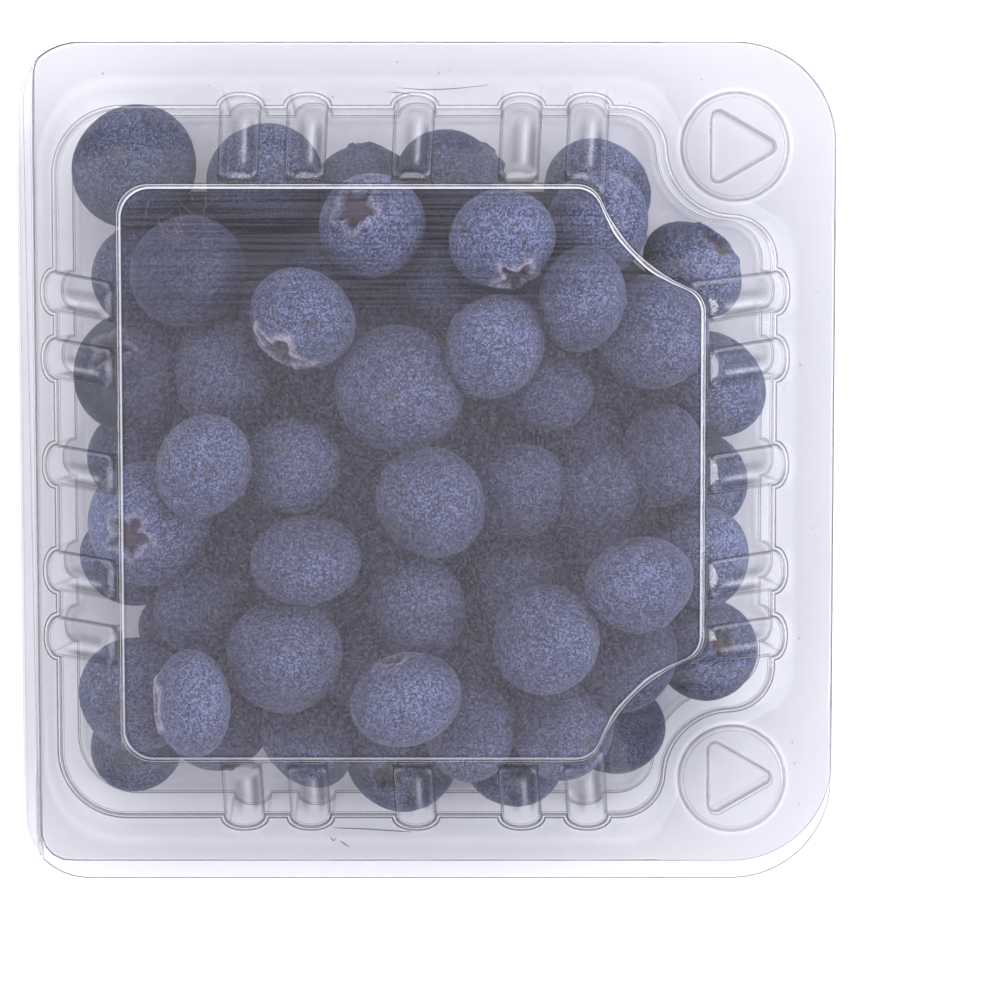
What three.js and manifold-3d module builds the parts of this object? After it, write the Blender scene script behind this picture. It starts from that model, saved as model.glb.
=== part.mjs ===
// A hinged clear-film punnet, lying closed on its shallow half and full of blueberries.
// Millimetres, +Z up. The origin is on the table under the middle of the pack, the hinge
// runs along the -X edge, and the two snap buttons are at the +X corners.
import * as THREE from "three";
import { mergeVertices } from "three/addons/utils/BufferGeometryUtils.js";
import Module from "manifold-3d";

const manifold = await Module();
manifold.setup();

// Film and seam
const FILM = 0.5; // thickness of the formed film
const SEAM_GAP = 0.3; // free space between the two closed flanges

// Flanges, seen from above
const FLANGE_HALF_X = 57.5;
const FLANGE_HALF_Y = 59.3;
const FLANGE_CORNER = 14.2; // radius at the opening side
const HINGE_CORNER = 11.5; // radius at the hinge side
const HINGE_LINE_X = -55; // the flanges end here and the hinge strip begins
const LID_SETBACK = 2.7; // the lid's flange is this much shorter at -Y
const LID_SETBACK_CORNER = 4;

// Walls: the cavity at the flange, in plan
const CAVITY_X = -1.6; // its middle
const CAVITY_HALF_X = 50.4;
const CAVITY_HALF_Y = 49.9;
const CAVITY_CORNER = 9.2;
const LID_RISE = 20; // lid flange up to the flat panel
const LID_RUN = 10.9; // how far the lid's wall leans in over that rise
const PANEL_CORNER = 4.2;
const PANEL_FILLET = 3.5;
const BASE_DEPTH = 15.5; // base flange down to the inside of the floor
const BASE_FLARE_X = 2.2; // the base is this much wider than the lid at the seam
const BASE_FLARE_Y = 3.6;
const BASE_FLOOR_INSET = 0.3;

// Snap buttons, each in a round notch of the walls
const BUTTON_X = 43.3;
const BUTTON_Y = 44.7;
const BUTTON_RADIUS = 7.65;
const BUTTON_RISE = 0.9;
const NOTCH_RADIUS = 10; // wall to button axis at the flange
const NOTCH_FILLET = 6;
const PEG_REACH = 6; // axis to the tips of the rounded triangle
const PEG_TIP_RADIUS = 1.2;
const PEG_DEPTH = 2.5; // below the lid's flange
const PEG_TAPER = 0.4;

// Ribs: half-round columns down every wall
const RIB_OFFSETS = [0, 15, 24.4]; // from the middle of each side
const RIB_HALF_WIDTH = 2.85;
const RIB_HEIGHT = 1.8;
const RIB_TOP = 0.95; // share of the wall's height at which a rib ends
const RIB_SECTION = [
  [-1, 0],
  [-0.72, 0.75],
  [0, 1],
  [0.72, 0.75],
  [1, 0],
]; // across, out

// Levels
const BASE_FLANGE_TOP = FILM + BASE_DEPTH;
const LID_FLANGE_BOTTOM = BASE_FLANGE_TOP + SEAM_GAP;
const LID_FLANGE_TOP = LID_FLANGE_BOTTOM + FILM;
const PANEL_TOP = LID_FLANGE_TOP + LID_RISE;
const SEAM = (BASE_FLANGE_TOP + LID_FLANGE_BOTTOM) / 2;

// Berries
const BERRY_FLATNESS = 0.86; // height over width
const BERRY_CLEARANCE = 0.3; // to the film
const BERRY_TOUCH = 0.97; // centres apart when two berries touch, in mean radii
const SETTLE_PASSES = 150;
const PLAN_GIVE = 0.1; // how far a placed berry gives sideways, against up or down
const FILL_WIDTH = [13.6, 17]; // of the berries that fill the gaps
const FILL_HEIGHTS = [-7.6, -1, 5, 11.5]; // over the seam
const FILL_PITCH = 6.1;
const FILL_REACH = 7; // lattice steps each way
const FILL_OVERLAP = 0.83; // centres closer than this share of touching are taken
const CORE_INSET = 11;
const CORE_TAPER = 0.8; // its top against its bottom, in plan
const CORE_BOTTOM = 8;
const CORE_TOP = 22.5;

// Berries that lie against the film: x, y and height over the seam of the middle, width.
const SHOWN_BERRIES = [
  // against the panel
  [-16.8, 21, 11.6, 15.2],
  [-3.4, 11.3, 11.2, 17.5],
  [1.1, -4.6, 11.8, 15.8],
  [-21.6, -25.9, 11.8, 15.9],
  [17, -24.4, 11.8, 15.6],
  [29.5, -15.8, 11.6, 15.4],
  [10.9, 31.7, 11.8, 14.8],
  [-17.6, -13.6, 12, 13.8],
  [9.3, 16.7, 12.4, 13.3],
  [-7.3, 33.7, 10, 15],
  [-2, -31.8, 10.5, 15.6],
  [-31, -0.2, 9.5, 13.9],
  [21.6, 24.2, 10.5, 15],
  // a little deeper
  [-32.6, -31.9, 6.5, 12.9],
  [-18.4, 0.8, 8, 12.8],
  [16.8, 10.9, 5.5, 13.2],
  [11.9, -3.5, 6, 14],
  [-1.4, -19.9, 5, 15.7],
  [11.9, -17.8, 3, 14.4],
  [-39.7, -8.5, 4.4, 16.9],
  [26.3, 34.2, 4.5, 15.2],
  [-33.2, 27.3, 4, 16.6],
  [31.6, 18.8, 4, 16.1],
  [-41.5, -38.8, 1, 13.7],
  [23.3, 1.4, 1, 14.7],
  [31.8, 1.2, 3, 14.4],
  [6.3, -37.2, 2, 14.7],
  // along the walls
  [-41.4, 44.6, -7, 15.3],
  [-24.3, 40.2, -5.5, 16.7],
  [-7.4, 38.5, -6.5, 15.3],
  [4.1, 38.9, -4, 16.6],
  [23.8, 38.5, -7.3, 14.4],
  [37.7, 27.3, -4, 15.5],
  [39.8, 10.9, -2.5, 16.8],
  [38.4, -2.7, -3, 14.9],
  [39, -14, -2, 14.5],
  [39, -26, -1, 15.1],
  [28.4, -39.4, -5, 14.4],
  [19, -37.4, -1, 14.8],
  [-3.9, -44.7, -6.5, 16.8],
  [-17.7, -40, -4, 14.6],
  [-29.9, -38.4, -6, 14.7],
  [-45.8, -34.8, -7.6, 14.1],
  [-42, -15.1, -6, 14.4],
  [-41.9, 1.5, -5, 14.4],
  [-43.3, 12.7, -1, 16.2],
  [-42, 25.1, -6, 15],
];

// The same row of numbers each time, between 0 and 1.
function randomSource(seed) {
  let state = seed;
  return () => {
    state = (state * 16807) % 2147483647;
    return state / 2147483647;
  };
}

// Collects triangles of one closed skin.
class Skin {
  constructor() {
    this.corners = [];
  }

  face(a, b, c) {
    this.corners.push(a, b, c);
  }

  // Joins two rings of like count. It faces up from an outer to an inner ring, and
  // outwards from a lower to an upper one.
  band(from, to) {
    from.forEach((point, i) => {
      const next = (i + 1) % from.length;
      this.face(point, from[next], to[next]);
      this.face(point, to[next], to[i]);
    });
  }

  // A flat sheet inside one ring and outside the others.
  plate(ring, holes, facesUp) {
    const flat = [ring, ...holes].map((r) => r.map((p) => new THREE.Vector2(p.x, p.y)));
    const points = [ring, ...holes].flat();
    for (const triangle of THREE.ShapeUtils.triangulateShape(flat[0], flat.slice(1))) {
      const [a, b, c] = triangle.map((i) => points[i]);
      const turn = (b.x - a.x) * (c.y - a.y) - (b.y - a.y) * (c.x - a.x);
      if (turn > 0 === facesUp) this.face(a, b, c);
      else this.face(a, c, b);
    }
  }

  geometry() {
    const geometry = new THREE.BufferGeometry().setFromPoints(this.corners);
    return mergeVertices(geometry, 1e-4);
  }
}

function atHeight(points, z) {
  return points.map((p) => new THREE.Vector3(p.x, p.y, z));
}

// A wall's plan at one level: the cavity grown by outset, with its round corners.
function wallPlan(outset, corners = {}) {
  return {
    halfX: CAVITY_HALF_X + outset,
    halfY: CAVITY_HALF_Y + outset,
    notch: NOTCH_RADIUS - outset,
    fillet: NOTCH_FILLET + outset,
    corner: CAVITY_CORNER + outset,
    ...corners,
  };
}

// Middle of the fillet between a straight side and the notch round the button.
// across is measured square to the side and along beside it.
function filletMiddle(half, fillet, notch, buttonAcross, buttonAlong) {
  const across = half - fillet;
  const along = buttonAlong - Math.sqrt((notch + fillet) ** 2 - (buttonAcross - across) ** 2);
  return { across, along };
}

// How far out the outline lies at a place along a side that runs into the notch.
function sideAcross(along, half, plan, buttonAcross, buttonAlong) {
  const { fillet, notch } = plan;
  const middle = filletMiddle(half, fillet, notch, buttonAcross, buttonAlong);
  if (along <= middle.along) return half;
  const toButton = Math.atan2(buttonAlong - middle.along, buttonAcross - middle.across);
  if (along <= middle.along + fillet * Math.sin(toButton))
    return middle.across + Math.sqrt(fillet ** 2 - (along - middle.along) ** 2);
  return buttonAcross - Math.sqrt(notch ** 2 - (buttonAlong - along) ** 2);
}

// Places along half a side, from its middle, with the rib's lift at each.
function ribStations(halfWidth) {
  const stations = RIB_OFFSETS.flatMap((offset) =>
    RIB_SECTION.map(([across, out]) => ({ along: offset + across * halfWidth, lift: out })),
  );
  return stations.filter((s) => s.along >= 0);
}

// The outline from a side's last rib, round the button, to the next side's last rib.
function notchCurve(plan, end, steps) {
  const bx = BUTTON_X - CAVITY_X;
  const by = BUTTON_Y;
  const right = filletMiddle(plan.halfX, plan.fillet, plan.notch, bx, by);
  const top = filletMiddle(plan.halfY, plan.fillet, plan.notch, by, bx);
  const curve = new THREE.Path();
  if (end < right.along) {
    const rightTurn = Math.atan2(by - right.along, bx - right.across);
    const topTurn = Math.atan2(by - top.across, bx - top.along);
    curve.moveTo(plan.halfX, end);
    curve.absarc(right.across, right.along, plan.fillet, 0, rightTurn);
    curve.absarc(bx, by, plan.notch, rightTurn + Math.PI, topTurn + Math.PI, true);
    curve.absarc(top.along, top.across, plan.fillet, topTurn, Math.PI / 2);
    curve.lineTo(end, plan.halfY);
  } else {
    const fromRight = Math.atan2(end - by, sideAcross(end, plan.halfX, plan, bx, by) - bx);
    const toTop = Math.atan2(sideAcross(end, plan.halfY, plan, by, bx) - by, end - bx);
    curve.absarc(bx, by, plan.notch, fromRight, toTop, true);
  }
  return curve.getSpacedPoints(steps).slice(1, -1);
}

// One ring of a wall in plan, counterclockwise. Each point has the way its rib stands out.
function wallRing(plan, ribHalfWidth) {
  const bx = BUTTON_X - CAVITY_X;
  const by = BUTTON_Y;
  const stations = ribStations(ribHalfWidth);
  const end = RIB_OFFSETS.at(-1) + ribHalfWidth;
  const right = stations.map(({ along, lift }) => ({
    x: sideAcross(along, plan.halfX, plan, bx, by),
    y: along,
    outX: lift,
    outY: 0,
  }));
  const notch = notchCurve(plan, end, 14).map(({ x, y }) => ({ x, y, outX: 0, outY: 0 }));
  const topRight = stations.map(({ along, lift }) => ({
    x: along,
    y: sideAcross(along, plan.halfY, plan, by, bx),
    outX: 0,
    outY: lift,
  }));
  const topLeft = stations.slice(1).map(({ along, lift }) => ({
    x: -along,
    y: plan.halfY,
    outX: 0,
    outY: lift,
  }));
  const arc = new THREE.Path();
  const middleX = plan.corner - plan.halfX;
  arc.absarc(middleX, plan.halfY - plan.corner, plan.corner, Math.PI / 2, Math.PI);
  const corner = arc.getSpacedPoints(5).map(({ x, y }) => ({ x, y, outX: 0, outY: 0 }));
  const left = stations.map(({ along, lift }) => ({
    x: -plan.halfX,
    y: along,
    outX: -lift,
    outY: 0,
  }));
  const upper = [...right, ...notch, ...topRight.reverse(), ...topLeft, ...corner, ...left.reverse()];
  const lower = upper
    .slice(1, -1)
    .reverse()
    .map((p) => ({ ...p, y: -p.y, outY: -p.outY }));
  return [...upper, ...lower];
}

// The ring part of the way from one level to another, with its ribs standing out.
function ringBetween(from, to, share, ribHeight, z) {
  return from.map((p, i) => {
    const x = THREE.MathUtils.lerp(p.x, to[i].x, share) + p.outX * ribHeight;
    const y = THREE.MathUtils.lerp(p.y, to[i].y, share) + p.outY * ribHeight;
    return new THREE.Vector3(CAVITY_X + x, y, z);
  });
}

// A flange's outline: round corners, cut straight at the hinge line.
function flangeOutline(endY, endCorner) {
  const cut = Math.acos((HINGE_CORNER - FLANGE_HALF_X - HINGE_LINE_X) / -HINGE_CORNER);
  const reach = FLANGE_HALF_X - FLANGE_CORNER;
  const hingeX = HINGE_CORNER - FLANGE_HALF_X;
  const outline = new THREE.Path();
  outline.absarc(reach, endY + FLANGE_CORNER, FLANGE_CORNER, -Math.PI / 2, 0);
  outline.absarc(reach, FLANGE_HALF_Y - FLANGE_CORNER, FLANGE_CORNER, 0, Math.PI / 2);
  outline.absarc(hingeX, FLANGE_HALF_Y - HINGE_CORNER, HINGE_CORNER, Math.PI / 2, cut);
  if (endCorner) {
    outline.absarc(HINGE_LINE_X + endCorner, endY + endCorner, endCorner, Math.PI, Math.PI * 1.5);
  } else {
    outline.absarc(hingeX, endY + HINGE_CORNER, HINGE_CORNER, -cut, -Math.PI / 2);
  }
  return withoutRepeats(outline.getPoints(6));
}

function withoutRepeats(points) {
  return points.filter((p, i) => p.distanceTo(points.at(i - 1)) > 1e-3);
}

function circlePoints(x, y, radius, steps) {
  return Array.from({ length: steps }, (_, i) => {
    const turn = (i / steps) * 2 * Math.PI;
    return new THREE.Vector2(x + radius * Math.cos(turn), y + radius * Math.sin(turn));
  });
}

// A triangle with round tips, one tip towards +X, grown by outset.
function pegPoints(x, y, outset) {
  const tips = [0, 1, 2].map((k) => (k * 2 * Math.PI) / 3);
  return tips.flatMap((tip) =>
    [-1, -0.4, 0.4, 1].map((step) => {
      const turn = tip + (step * Math.PI) / 3;
      const reach = PEG_REACH - PEG_TIP_RADIUS;
      const radius = PEG_TIP_RADIUS + outset;
      return new THREE.Vector2(
        x + reach * Math.cos(tip) + radius * Math.cos(turn),
        y + reach * Math.sin(tip) + radius * Math.sin(turn),
      );
    }),
  );
}

const BUTTONS = [BUTTON_Y, -BUTTON_Y];

// The lid's flat disc with the triangular peg sunk in it, on both faces of the film.
function addLidButton(skin, y) {
  const top = atHeight(circlePoints(BUTTON_X, y, BUTTON_RADIUS, 20), LID_FLANGE_TOP);
  const step = FILM * 0.8;
  const rim = circlePoints(BUTTON_X, y, BUTTON_RADIUS - step, 20);
  const discTop = atHeight(rim, LID_FLANGE_TOP + BUTTON_RISE);
  const mouth = atHeight(pegPoints(BUTTON_X, y, 0), LID_FLANGE_TOP + BUTTON_RISE);
  const sole = atHeight(pegPoints(BUTTON_X, y, -PEG_TAPER), LID_FLANGE_TOP - PEG_DEPTH + FILM);
  skin.band(top, discTop);
  skin.plate(discTop, [mouth], true);
  skin.band(mouth, sole);
  skin.plate(sole, [], true);

  const under = atHeight(rim, LID_FLANGE_BOTTOM);
  const hollow = circlePoints(BUTTON_X, y, BUTTON_RADIUS - 2 * step, 20);
  const discUnder = atHeight(hollow, LID_FLANGE_BOTTOM + BUTTON_RISE);
  const neck = atHeight(pegPoints(BUTTON_X, y, FILM), LID_FLANGE_BOTTOM + BUTTON_RISE);
  const foot = atHeight(pegPoints(BUTTON_X, y, FILM - PEG_TAPER), LID_FLANGE_TOP - PEG_DEPTH);
  skin.band(discUnder, under);
  skin.plate(discUnder, [neck], false);
  skin.band(foot, neck);
  skin.plate(foot, [], false);
  return { top, under };
}

// The base's triangular socket, which takes the peg with a little room.
function addBaseSocket(skin, y) {
  const room = FILM + SEAM_GAP;
  const floor = LID_FLANGE_TOP - PEG_DEPTH - SEAM_GAP;
  const top = atHeight(pegPoints(BUTTON_X, y, room), BASE_FLANGE_TOP);
  const sole = atHeight(pegPoints(BUTTON_X, y, room - PEG_TAPER), floor);
  skin.band(top, sole);
  skin.plate(sole, [], true);

  const under = atHeight(pegPoints(BUTTON_X, y, room + FILM), BASE_FLANGE_TOP - FILM);
  const foot = atHeight(pegPoints(BUTTON_X, y, room + FILM - PEG_TAPER), floor - FILM);
  skin.band(foot, under);
  skin.plate(foot, [], false);
  return { top, under };
}

// The shown half: flange, leaning ribbed walls and the flat panel.
function lidGeometry() {
  const skin = new Skin();
  const outline = flangeOutline(LID_SETBACK - FLANGE_HALF_Y, LID_SETBACK_CORNER);
  const edgeTop = atHeight(outline, LID_FLANGE_TOP);
  const edgeBottom = atHeight(outline, LID_FLANGE_BOTTOM);
  skin.band(edgeBottom, edgeTop);

  const buttons = BUTTONS.map((y) => addLidButton(skin, y));
  const lean = LID_RUN / LID_RISE;
  const sideways = FILM * Math.hypot(1, lean); // the film's thickness measured level
  const lowIn = FILM * lean - sideways;

  const foot = wallRing(wallPlan(0), RIB_HALF_WIDTH);
  const panel = { fillet: PANEL_FILLET, corner: PANEL_CORNER };
  const head = wallRing(wallPlan(-LID_RUN, panel), RIB_HALF_WIDTH);
  const outer = [
    ringBetween(foot, head, 0, RIB_HEIGHT, LID_FLANGE_TOP),
    ringBetween(foot, head, RIB_TOP, RIB_HEIGHT, LID_FLANGE_TOP + RIB_TOP * LID_RISE),
    ringBetween(foot, head, 1, 0, PANEL_TOP),
  ];
  skin.plate(edgeTop, [outer[0], ...buttons.map((b) => b.top)], true);
  skin.band(outer[0], outer[1]);
  skin.band(outer[1], outer[2]);
  skin.plate(outer[2], [], true);

  const innerWidth = RIB_HALF_WIDTH - FILM;
  const insideFoot = wallRing(wallPlan(lowIn), innerWidth);
  const inPanel = { fillet: PANEL_FILLET - FILM, corner: PANEL_CORNER - FILM };
  const insideHead = wallRing(wallPlan(lowIn - LID_RUN, inPanel), innerWidth);
  const inner = [
    ringBetween(insideFoot, insideHead, 0, RIB_HEIGHT, LID_FLANGE_BOTTOM),
    ringBetween(insideFoot, insideHead, RIB_TOP, RIB_HEIGHT, LID_FLANGE_BOTTOM + RIB_TOP * LID_RISE),
    ringBetween(insideFoot, insideHead, 1, 0, PANEL_TOP - FILM),
  ];
  skin.plate(edgeBottom, [inner[0], ...buttons.map((b) => b.under)], false);
  skin.band(inner[1], inner[0]);
  skin.band(inner[2], inner[1]);
  skin.plate(inner[2], [], false);
  return skin.geometry();
}

// The lower half: flange, steep ribbed walls and the flat floor. Its ribs stand out most at
// the floor and run out at the flange.
function baseGeometry() {
  const skin = new Skin();
  const outline = flangeOutline(-FLANGE_HALF_Y, 0);
  const edgeTop = atHeight(outline, BASE_FLANGE_TOP);
  const edgeBottom = atHeight(outline, BASE_FLANGE_TOP - FILM);
  skin.band(edgeBottom, edgeTop);

  const sockets = BUTTONS.map((y) => addBaseSocket(skin, y));
  const rimHalfY = CAVITY_HALF_Y + BASE_FLARE_Y;
  const rim = wallRing(wallPlan(BASE_FLARE_X, { halfY: rimHalfY }), RIB_HALF_WIDTH);
  const floor = wallRing(wallPlan(-BASE_FLOOR_INSET), RIB_HALF_WIDTH);
  const underside = ringBetween(rim, floor, 1, RIB_HEIGHT, 0);
  const rimUnder = ringBetween(rim, floor, 0, 0, BASE_FLANGE_TOP - FILM);
  skin.plate(edgeBottom, [rimUnder, ...sockets.map((s) => s.under)], false);
  skin.band(underside, rimUnder);
  skin.plate(underside, [], false);

  const innerWidth = RIB_HALF_WIDTH - FILM;
  const insideRimPlan = wallPlan(BASE_FLARE_X - FILM, { halfY: rimHalfY - FILM });
  const insideRim = wallRing(insideRimPlan, innerWidth);
  const insideFloor = wallRing(wallPlan(-BASE_FLOOR_INSET - FILM), innerWidth);
  const mouth = ringBetween(insideRim, insideFloor, 0, 0, BASE_FLANGE_TOP);
  const bottom = ringBetween(insideRim, insideFloor, 1, RIB_HEIGHT, FILM);
  skin.plate(edgeTop, [mouth, ...sockets.map((s) => s.top)], true);
  skin.band(mouth, bottom);
  skin.plate(bottom, [], true);
  return skin.geometry();
}

// The strip of film along the -X edge that the lid folds on.
function hingeGeometry() {
  const innerX = HINGE_LINE_X - SEAM_GAP;
  const middleX = HINGE_CORNER - FLANGE_HALF_X;
  const middleY = FLANGE_HALF_Y - HINGE_CORNER;
  const cut = Math.acos((innerX - middleX) / HINGE_CORNER);
  const outline = new THREE.Shape();
  outline.absarc(middleX, middleY, HINGE_CORNER, cut, Math.PI);
  outline.absarc(middleX, -middleY, HINGE_CORNER, Math.PI, 2 * Math.PI - cut);
  const depth = LID_FLANGE_TOP - BASE_FLANGE_TOP + FILM;
  const strip = new THREE.ExtrudeGeometry(outline, { depth, bevelEnabled: false, curveSegments: 5 });
  return strip.translate(0, 0, BASE_FLANGE_TOP - FILM);
}

// The free half width for a ball's middle at a height over the seam: under the lid's
// leaning wall, beside that wall's lower edge, and within the base's wall.
function freeHalf(half, flare, radius, height) {
  const lidLean = LID_RUN / LID_RISE;
  const lidSlant = Math.hypot(1, lidLean);
  const edge = half - FILM * lidSlant;
  const underLid = edge - lidLean * height - lidSlant * radius;
  const besideEdge = edge - Math.sqrt(Math.max(radius ** 2 - height ** 2, 0));
  const touchesWall = height > (-radius * lidLean) / lidSlant;
  const inLid = touchesWall ? underLid : besideEdge;
  const baseLean = (flare + BASE_FLOOR_INSET) / BASE_DEPTH;
  const baseSlant = Math.hypot(1, baseLean);
  const inBase = half + flare - baseSlant * (FILM + radius) + baseLean * Math.min(height, 0);
  return Math.min(inLid, inBase);
}

// Puts a berry back inside the two shells.
function keepInside(berry) {
  const { at } = berry;
  const radius = berry.width / 2 + BERRY_CLEARANCE;
  at.z = THREE.MathUtils.clamp(at.z, FILM + radius, PANEL_TOP - FILM - radius);
  const height = at.z - SEAM;
  const halfX = freeHalf(CAVITY_HALF_X, BASE_FLARE_X, radius, height);
  const halfY = freeHalf(CAVITY_HALF_Y, BASE_FLARE_Y, radius, height);
  at.x = THREE.MathUtils.clamp(at.x, CAVITY_X - halfX, CAVITY_X + halfX);
  at.y = THREE.MathUtils.clamp(at.y, -halfY, halfY);
  const keepOff = NOTCH_RADIUS + CAVITY_HALF_X - halfX;
  for (const y of BUTTONS) {
    const away = new THREE.Vector2(at.x - BUTTON_X, at.y - y);
    if (away.length() >= keepOff) continue;
    away.setLength(keepOff);
    at.x = BUTTON_X + away.x;
    at.y = y + away.y;
  }
}

// Pushes overlapping berries apart. The placed ones give way least, and mostly in height.
function settle(berries) {
  for (let pass = 0; pass < SETTLE_PASSES; pass += 1) {
    const moves = berries.map(() => new THREE.Vector3());
    berries.forEach((a, i) => {
      berries.slice(i + 1).forEach((b, k) => {
        const apart = b.at.clone().sub(a.at);
        const overlap = BERRY_TOUCH * (a.radius + b.radius) - apart.length();
        if (overlap <= 0) return;
        apart.setLength(overlap / (a.weight + b.weight));
        moves[i].addScaledVector(apart, -b.weight / 2);
        moves[i + 1 + k].addScaledVector(apart, a.weight / 2);
      });
    });
    berries.forEach((berry, i) => {
      berry.at.add(moves[i].multiply(berry.give));
      keepInside(berry);
    });
  }
}

const PLACED = { weight: 4, give: new THREE.Vector3(PLAN_GIVE, PLAN_GIVE, 1) };
const FILLING = { weight: 1, give: new THREE.Vector3(1, 1, 1) };

function newBerry(x, y, height, width, kind) {
  const radius = (width * (1 + BERRY_FLATNESS)) / 4;
  return { at: new THREE.Vector3(x, y, SEAM + height), width, radius, ...kind };
}

// A filler at one place of the lattice, or nothing where the place is taken.
function fillerAt(x, y, height, width, berries) {
  const filler = newBerry(x, y, height, width, FILLING);
  const wanted = filler.at.clone();
  keepInside(filler);
  if (filler.at.distanceTo(wanted) > FILL_PITCH / 2) return [];
  const taken = berries.some(
    (b) => b.at.distanceTo(filler.at) < FILL_OVERLAP * (b.radius + filler.radius),
  );
  return taken ? [] : [filler];
}

// The placed berries, and more wherever a lattice through the pack has room.
function packedBerries() {
  const random = randomSource(71);
  const berries = SHOWN_BERRIES.map((row) => newBerry(...row, PLACED));
  const [narrow, wide] = FILL_WIDTH;
  for (const height of FILL_HEIGHTS) {
    for (let column = -FILL_REACH; column <= FILL_REACH; column += 1) {
      for (let row = -FILL_REACH; row <= FILL_REACH; row += 1) {
        const width = narrow + (wide - narrow) * random();
        const x = CAVITY_X + column * FILL_PITCH;
        berries.push(...fillerAt(x, row * FILL_PITCH, height, width, berries));
      }
    }
  }
  settle(berries);
  return berries;
}

function solidFrom(geometry) {
  const bare = geometry.clone();
  bare.deleteAttribute("normal");
  bare.deleteAttribute("uv");
  const merged = mergeVertices(bare, 1e-4);
  const mesh = new manifold.Mesh({
    numProp: 3,
    vertProperties: new Float32Array(merged.attributes.position.array),
    triVerts: new Uint32Array(merged.index.array),
  });
  return new manifold.Manifold(mesh);
}

function geometryFrom(solid) {
  const mesh = solid.getMesh();
  return new THREE.BufferGeometry()
    .setAttribute("position", new THREE.BufferAttribute(mesh.vertProperties, 3))
    .setIndex(new THREE.BufferAttribute(mesh.triVerts, 1));
}

// A flattened ball with its crown turned any way.
function berrySolid(berry, random) {
  const ball = new THREE.SphereGeometry(berry.width / 2, 9, 6);
  ball.scale(1, BERRY_FLATNESS, 1);
  const turn = new THREE.Euler(random() * Math.PI, random() * Math.PI, random() * Math.PI);
  ball.applyMatrix4(new THREE.Matrix4().makeRotationFromEuler(turn));
  ball.translate(berry.at.x, berry.at.y, berry.at.z);
  return solidFrom(ball);
}

// The heap: every berry fused on a plain block that fills the hidden middle.
function heapGeometry() {
  const plan = wallPlan(-CORE_INSET, { fillet: PANEL_FILLET, corner: PANEL_CORNER });
  const block = new Skin();
  const ring = wallRing(plan, RIB_HALF_WIDTH).map((p) => ({ x: CAVITY_X + p.x, y: p.y }));
  const bottom = atHeight(ring, CORE_BOTTOM);
  const topRing = ring.map((p) => ({ x: p.x * CORE_TAPER, y: p.y * CORE_TAPER }));
  const top = atHeight(topRing, CORE_TOP);
  block.band(bottom, top);
  block.plate(bottom, [], false);
  block.plate(top, [], true);
  const random = randomSource(29);
  const solids = packedBerries().map((berry) => berrySolid(berry, random));
  const heap = solids.reduce((sum, solid) => sum.add(solid), solidFrom(block.geometry()));
  return geometryFrom(heap);
}

function film(name, geometry) {
  const finish = new THREE.MeshStandardMaterial({
    color: 0xe3e4ec,
    roughness: 0.08,
    metalness: 0,
    transparent: true,
    opacity: 0.3,
  });
  const mesh = new THREE.Mesh(geometry, finish);
  mesh.name = name;
  return mesh;
}

function fruit(name, geometry) {
  const finish = new THREE.MeshStandardMaterial({ color: 0x66708f, roughness: 0.72, metalness: 0 });
  const mesh = new THREE.Mesh(geometry, finish);
  mesh.name = name;
  return mesh;
}

const punnet = new THREE.Group();
punnet.add(film("base", baseGeometry()));
punnet.add(film("hinge", hingeGeometry()));
punnet.add(film("lid", lidGeometry()));
punnet.add(fruit("berries", heapGeometry()));

export default punnet;
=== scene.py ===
"""A clear hinged film punnet full of blueberries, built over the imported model."""

import itertools
import math

import bpy
import numpy as np
from bpy.props import FloatProperty, FloatVectorProperty, IntProperty, PointerProperty
from bpy.types import Operator, Panel, PropertyGroup
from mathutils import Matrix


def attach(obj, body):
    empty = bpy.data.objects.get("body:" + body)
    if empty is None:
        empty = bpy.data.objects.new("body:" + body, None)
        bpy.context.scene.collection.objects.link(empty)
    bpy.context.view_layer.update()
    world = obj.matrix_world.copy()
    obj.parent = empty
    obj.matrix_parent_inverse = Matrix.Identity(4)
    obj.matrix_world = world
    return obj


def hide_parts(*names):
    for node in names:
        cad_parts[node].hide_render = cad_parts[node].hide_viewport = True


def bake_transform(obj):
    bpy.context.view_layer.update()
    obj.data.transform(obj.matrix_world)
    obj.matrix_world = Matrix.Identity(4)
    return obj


bl_info = {
    "name": "Film punnet of blueberries",
    "version": (1, 0, 0),
    "blender": (4, 5, 0),
    "location": "View3D > Sidebar > Punnet",
    "description": "A closed clear film punnet with ribbed walls and snap buttons, full of blueberries",
    "category": "Add Mesh",
}

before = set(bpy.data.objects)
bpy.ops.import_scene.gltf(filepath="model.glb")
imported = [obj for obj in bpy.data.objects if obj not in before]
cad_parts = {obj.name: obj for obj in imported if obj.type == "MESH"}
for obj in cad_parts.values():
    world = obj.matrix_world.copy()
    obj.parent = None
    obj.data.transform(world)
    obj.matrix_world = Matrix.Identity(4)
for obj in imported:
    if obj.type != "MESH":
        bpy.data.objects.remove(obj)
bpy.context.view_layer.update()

MM = 0.001

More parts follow.
